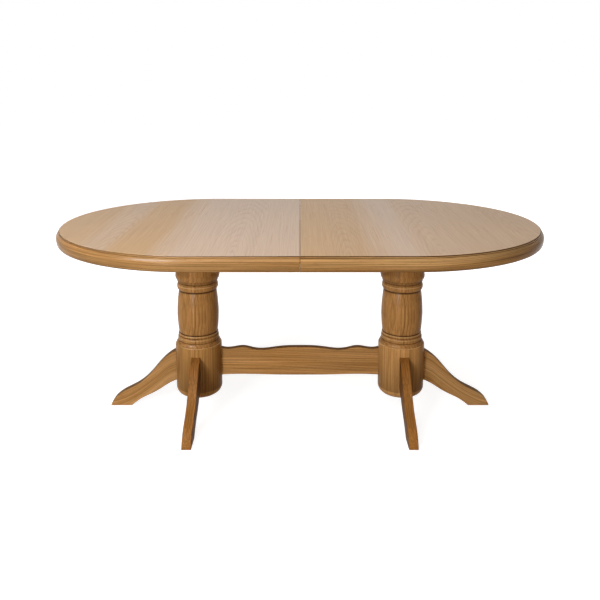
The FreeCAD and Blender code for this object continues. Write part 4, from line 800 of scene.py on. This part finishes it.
def moulding_tree():
    """A run of moulding: straight, or bent round a centre, with its grain kept along its length."""
    tree = bpy.data.node_groups.new("moulding", "GeometryNodeTree")
    given = named_inputs(tree, (
        ("Steps", "Int"), ("Capped", "Bool"), ("Wood", "Material"), ("Length", "Float"),
        ("Round", "Bool"), ("Rim", "Float"), ("First Angle", "Float"), ("Start", "Vector"),
        ("Side", "Float"), ("Half", "Float"), ("Grain Start", "Float"), ("Grain Way", "Float")))
    mesh, place = straight_run(tree, given, given["Length"])
    out = add(tree, "ShaderNodeMath", {0: place["Y"], 1: -1.0}, operation="MULTIPLY")
    height = add(tree, "ShaderNodeMath", {0: place["Z"], 1: -1.0}, operation="MULTIPLY")
    along = add(tree, "ShaderNodeMath",
                {0: place["X"], 1: given["Grain Way"], 2: given["Grain Start"]},
                operation="MULTIPLY_ADD")
    wood = add(tree, "ShaderNodeCombineXYZ", {"X": along, "Y": out, "Z": height})
    kept = add(tree, "GeometryNodeStoreNamedAttribute",
               {"Geometry": mesh, "Name": "grain", "Value": wood}, data_type="FLOAT_VECTOR",
               domain="POINT")
    turn = add(tree, "ShaderNodeMath", {0: place["X"], 1: given["Rim"]}, operation="DIVIDE")
    angle = add(tree, "ShaderNodeMath", {0: given["First Angle"], 1: turn})
    reach = add(tree, "ShaderNodeMath", {0: given["Rim"], 1: out})
    cosine = add(tree, "ShaderNodeMath", {0: angle}, operation="COSINE")
    sine = add(tree, "ShaderNodeMath", {0: angle}, operation="SINE")
    bent = add(tree, "ShaderNodeCombineXYZ", {
        "X": add(tree, "ShaderNodeMath", {0: reach, 1: cosine}, operation="MULTIPLY"),
        "Y": add(tree, "ShaderNodeMath", {0: reach, 1: sine}, operation="MULTIPLY"), "Z": height})
    aside = add(tree, "ShaderNodeMath", {0: out, 1: given["Side"]}, operation="MULTIPLY")
    straight = add(tree, "ShaderNodeCombineXYZ", {"X": place["X"], "Y": aside, "Z": height})
    chosen = add(tree, "GeometryNodeSwitch",
                 {"Switch": given["Round"], "False": straight, "True": bent}, input_type="VECTOR")
    laid = add(tree, "ShaderNodeVectorMath", {0: chosen, 1: given["Start"]})
    mirror = add(tree, "ShaderNodeCombineXYZ", {"X": given["Half"], "Y": 1.0, "Z": 1.0})
    ended = add(tree, "ShaderNodeVectorMath", {0: laid, 1: mirror}, operation="MULTIPLY")
    moved = add(tree, "GeometryNodeSetPosition", {"Geometry": kept, "Position": ended})
    close_tree(tree, moved, given["Wood"])
    return tree


def edge_oak(name):
    """Oak whose grain follows the moulding, with painted shade in its quirks, painted highlights on
    its arrises and stain at the seam.
    """
    material, tree = new_material(name)
    run = add(tree, "ShaderNodeAttribute", attribute_name="grain").outputs["Vector"]
    wood = add(tree, "ShaderNodeMapping", {"Vector": run, "Location": EDGE_GROWN_AT},
               vector_type="TEXTURE").outputs["Vector"]
    tone = add(tree, "ShaderNodeMapRange", {"Value": streaks(tree, wood, *EDGE_PATCH_MM),
                                            **NOISE_SPAN})
    place = add(tree, "ShaderNodeTexCoord").outputs["Object"]
    part = add(tree, "ShaderNodeSeparateXYZ", {"Vector": place}).outputs
    at_seam = beside_seam(tree, part["X"])[1]
    quirk = add(tree, "ShaderNodeAttribute", attribute_name="stain_and_painted_light").outputs["Fac"]
    stain_and_painted_light = add(tree, "ShaderNodeMath", {0: at_seam, 1: quirk}, operation="MAXIMUM")
    oak_finish(tree, wood, tone, EDGE_HEART_ASIDE, stain_and_painted_light, EDGE_HONEY, EDGE_PALE, ring=7.0,
               taper=0.0, wander=10.0, line_share=0.8, figure=1.3, sheen=0.26, gloss_level=0.035)
    return material


ledge, step, nose, foot = [TOP_HEIGHT - drop
                           for drop in (LEDGE_DROP, STEP_DROP, NOSE_DROP, FOOT_DROP)]
quirk = step + QUIRK_HEIGHT
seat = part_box("left_panel")[0][2] / MM
# The lip out from the panel's rim and up, with painted shade in its corners and painted highlights
# on its eased edges.
lip = [(GLUE_LINE, ledge, 1), (0.8, ledge, 0.8), (1.6, ledge), (3.4, ledge),
       (3.8, ledge - 0.2, -0.7), (LEDGE_OUT, ledge - 0.6, -0.8), (LEDGE_OUT, quirk + 0.9, -0.8),
       (LEDGE_OUT, quirk + 0.3), (3.8, quirk, 0.6), (QUIRK_OUT, quirk, 1), (QUIRK_OUT, step, 1),
       (3.6, step, 0.5), (LEDGE_OUT, step - 0.3), (4.6, step - 0.8, -0.7)]
lip += arc(lip[-1], (ROUND_ABOVE[0], step - ROUND_ABOVE[1]), (LIP_OVERHANG, nose), ROUND_STEPS[0])
lip += arc(lip[-1], (ROUND_BELOW[0], nose - ROUND_BELOW[1]),
           (ROUND_FOOT[0], foot + ROUND_FOOT[1]), ROUND_STEPS[1])
lip += quarter(lip[-1], (FOOT_OUT, foot), ROUND_STEPS[2])
lip += [(LIP_SEAT, foot), (LIP_SEAT, seat), (GLUE_LINE, seat)]

# The oval's outline: straight sides, then arcs of an eighth turn, then the rounder ends.
side_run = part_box("right_edge_front")[1][0]
half_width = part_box("right_edge_back")[1][1]
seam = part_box("right_edge_front")[0][0]
end_depth = TOP_HALF_LENGTH - side_run
radius_step = (end_depth - half_width) / (math.sin(EIGHTH) + math.cos(EIGHTH) - 1)
tip_rim = end_depth - radius_step * math.cos(EIGHTH) - LIP_OVERHANG * MM
bend_rim = half_width + radius_step * math.sin(EIGHTH) - LIP_OVERHANG * MM
bend_y = bend_rim + LIP_OVERHANG * MM - half_width
tip_x = TOP_HALF_LENGTH - tip_rim - LIP_OVERHANG * MM
rim = half_width - LIP_OVERHANG * MM
side, bend, tip = side_run - seam, bend_rim * EIGHTH, tip_rim * 2 * EIGHTH
whole = 2 * (side + bend) + tip
runs = {"front": {"Length": side, "Start": (seam, -rim, 0.0), "Side": -1.0, "Steps": SIDE_STEPS,
                  "Grain Start": 0.0},
        "front_bend": {"Length": bend, "Start": (side_run, bend_y, 0.0), "Rim": bend_rim,
                       "First Angle": -2 * EIGHTH, "Steps": BEND_STEPS, "Grain Start": side},
        "end": {"Length": tip, "Start": (tip_x, 0.0, 0.0), "Rim": tip_rim, "First Angle": -EIGHTH,
                "Steps": TIP_STEPS, "Grain Start": side + bend},
        "back_bend": {"Length": bend, "Start": (side_run, -bend_y, 0.0), "Rim": bend_rim,
                      "First Angle": EIGHTH, "Steps": BEND_STEPS,
                      "Grain Start": side + bend + tip},
        "back": {"Length": side, "Start": (seam, rim, 0.0), "Side": 1.0, "Steps": SIDE_STEPS,
                 "Grain Start": whole, "Grain Way": -1.0}}
moulding = moulding_tree()
edge_wood = edge_oak("lacquered_oak_edge")
for half, sign, log_start in (("left", -1.0, 0.0), ("right", 1.0, 2 * whole + LOG_WASTE)):
    share = {True: LEDGE_SHADE[half], False: LEDGE_HIGHLIGHT[half]}
    # Each half's painted shade and highlights along the lip.
    lip_painted_light = [p[:2] + (p[2] * share[p[2] > 0],) if len(p) > 2 else p for p in lip]
    for part, run in runs.items():
        values = {"Grain Way": 1.0, "Rim": 1.0, "Round": "Rim" in run, **run,
                  "Grain Start": run["Grain Start"] + log_start}
        made_by(moulding, "%s_moulding_%s" % (half, part), lip_painted_light, half + "_top", "oak_edge",
                ["%s_edge_%s" % (half, part)], LIP_PAINTED_LIGHT_REACH, Capped=True, Wood=edge_wood,
                Half=sign, **values)

# Seam dowels and locks: beech dowels line up the two halves, and brass levers under the seam hook
# over brass studs to hold it shut. Plates, levers and studs are pressed and turned, then polished.
BRASS = "#c9a24f"
BRASS_DULL = "#9a7636"
dress(beech_along, ["seam_dowels"])
dress(clouded("polished_brass", BRASS, BRASS_DULL, metallic=1.0, rough=0.26, patch_mm=6.0,
              scratch_mm=0.4), ["lock_plates", "lock_studs", "front_lock_lever", "back_lock_lever"])

# Floor, light and camera: a pale painted floor under a white sky, which the eye sees as white with
# the table's faint shadow, and sees through from below. Soft lamps stand in front on the left, in
# front on the right, warm and weak, overhead and behind, and two more show only in the gloss.
WHITE = "#ffffff"
FLOOR_SIZE = 30.0
FLOOR_GREY = "#aaaaaa"
FLOOR_BOUNCE = "#ada089"
SHADE_REACH = (0.5, 1.35)
SHADE_WHITE = 0.84
SKY_WARM = "#ffedd3"
SKY_LIGHT = 0.12
FILL_WARM = "#ffeac8"
# Name, place, height aimed at over the middle, width, watts, colour and the rays it hides from.
# The lamps that hide from gloss would glare in the top from behind.
LAMPS = (("key", (-3.2, -5.6, 2.4), 0.4, 2.0, 300, WHITE, ("camera", "glossy")),
         ("fill", (3.2, -5.5, 1.6), 0.4, 2.0, 36, FILL_WARM, ("camera", "glossy")),
         ("overhead", (-0.8, -1.6, 2.9), 0.6, 2.0, 76, WHITE, ("camera",)),
         ("back", (0.8, 4.6, 1.4), 0.4, 2.0, 110, WHITE, ("camera", "glossy")),
         ("gleam_high", (-3.4, -3.8, 4.6), 0.5, 3.0, 3000, WHITE, ("camera", "diffuse")),
         ("gleam_low", (-2.6, -5.4, 0.2), 0.5, 1.1, 380, WHITE, ("camera", "diffuse")))
CAMERA_PLACE = (0.0, -2.6934, 1.3343)
CAMERA_TILT = 82.0
CAMERA_LENS = 41.76
CAMERA_SENSOR = 36.0
CAMERA_SHIFT = -0.2121

floor_mesh = bpy.data.meshes.new("studio_floor")
corner = FLOOR_SIZE / 2
floor_mesh.from_pydata([(-corner, -corner, 0), (corner, -corner, 0), (corner, corner, 0),
                        (-corner, corner, 0)], [], [(0, 1, 2, 3)])
floor = bpy.data.objects.new("studio_floor", floor_mesh)
bpy.context.scene.collection.objects.link(floor)


def seen_ray(tree):
    """1 for rays that the eye follows: from the camera, off a gloss or through glass."""
    ray = add(tree, "ShaderNodeLightPath").outputs
    straight = add(tree, "ShaderNodeMath", {0: ray["Is Camera Ray"], 1: ray["Is Glossy Ray"]},
                   operation="MAXIMUM")
    return add(tree, "ShaderNodeMath", {0: straight, 1: ray["Is Transmission Ray"]},
               operation="MAXIMUM")


paint, tree = new_material("pale_floor_paint")
place = add(tree, "ShaderNodeTexCoord").outputs["Object"]
away = add(tree, "ShaderNodeVectorMath", {0: place}, operation="LENGTH").outputs["Value"]
# Near the table the floor's glow is dimmed, a painted shade round the table, so that its faint
# shadow shows; further out it glows white.
glow = add(tree, "ShaderNodeMapRange", {
    "Value": away, "From Min": SHADE_REACH[0], "From Max": SHADE_REACH[1], "To Min": SHADE_WHITE,
    "To Max": 1.0}, interpolation_type="SMOOTHSTEP")
shadowed = add(tree, "ShaderNodeBsdfDiffuse", {"Color": linear(FLOOR_GREY)})
white = add(tree, "ShaderNodeEmission", {"Color": linear(WHITE), "Strength": glow})
both = add(tree, "ShaderNodeAddShader", {0: shadowed, 1: white})
plain = add(tree, "ShaderNodeBsdfDiffuse", {"Color": linear(FLOOR_BOUNCE)})
shown = add(tree, "ShaderNodeMixShader", {0: seen_ray(tree), 1: plain, 2: both})
under = add(tree, "ShaderNodeNewGeometry").outputs["Backfacing"]
clear = add(tree, "ShaderNodeBsdfTransparent")
open_below = add(tree, "ShaderNodeMixShader", {0: under, 1: shown, 2: clear})
add(tree, "ShaderNodeOutputMaterial", {"Surface": open_below})
floor_mesh.materials.append(paint)

sky = bpy.data.worlds.new("white_studio")
bpy.context.scene.world = sky
sky.use_nodes = True
tree = sky.node_tree
tree.nodes.clear()
seen = seen_ray(tree)
level = add(tree, "ShaderNodeMapRange", {"Value": seen, "To Min": SKY_LIGHT, "To Max": 1.0})
tint = add(tree, "ShaderNodeMix", {"Factor": seen, "A": linear(SKY_WARM), "B": linear(WHITE)},
           data_type="RGBA")
air = add(tree, "ShaderNodeBackground", {"Color": tint, "Strength": level})
add(tree, "ShaderNodeOutputWorld", {"Surface": air})

for name, (x, y, z), aim, size, watts, colour, hidden in LAMPS:
    lamp = bpy.data.lights.new(name, "AREA")
    lamp.shape = "DISK"
    lamp.size = size
    lamp.energy = watts
    lamp.color = linear(colour)[:3]
    holder = bpy.data.objects.new(name, lamp)
    holder.location = (x, y, z)
    holder.rotation_euler = (math.atan2(math.hypot(x, y), z - aim), 0.0, math.atan2(x, -y))
    for ray in hidden:
        setattr(holder, "visible_" + ray, False)
    bpy.context.scene.collection.objects.link(holder)

view = bpy.data.cameras.new("view")
view.lens = CAMERA_LENS
view.sensor_width = CAMERA_SENSOR
view.shift_y = CAMERA_SHIFT
eye = bpy.data.objects.new("view", view)
eye.location = CAMERA_PLACE
eye.rotation_euler = (math.radians(CAMERA_TILT), 0.0, 0.0)
bpy.context.scene.collection.objects.link(eye)
bpy.context.scene.camera = eye
bpy.context.scene.view_settings.view_transform = "Standard"
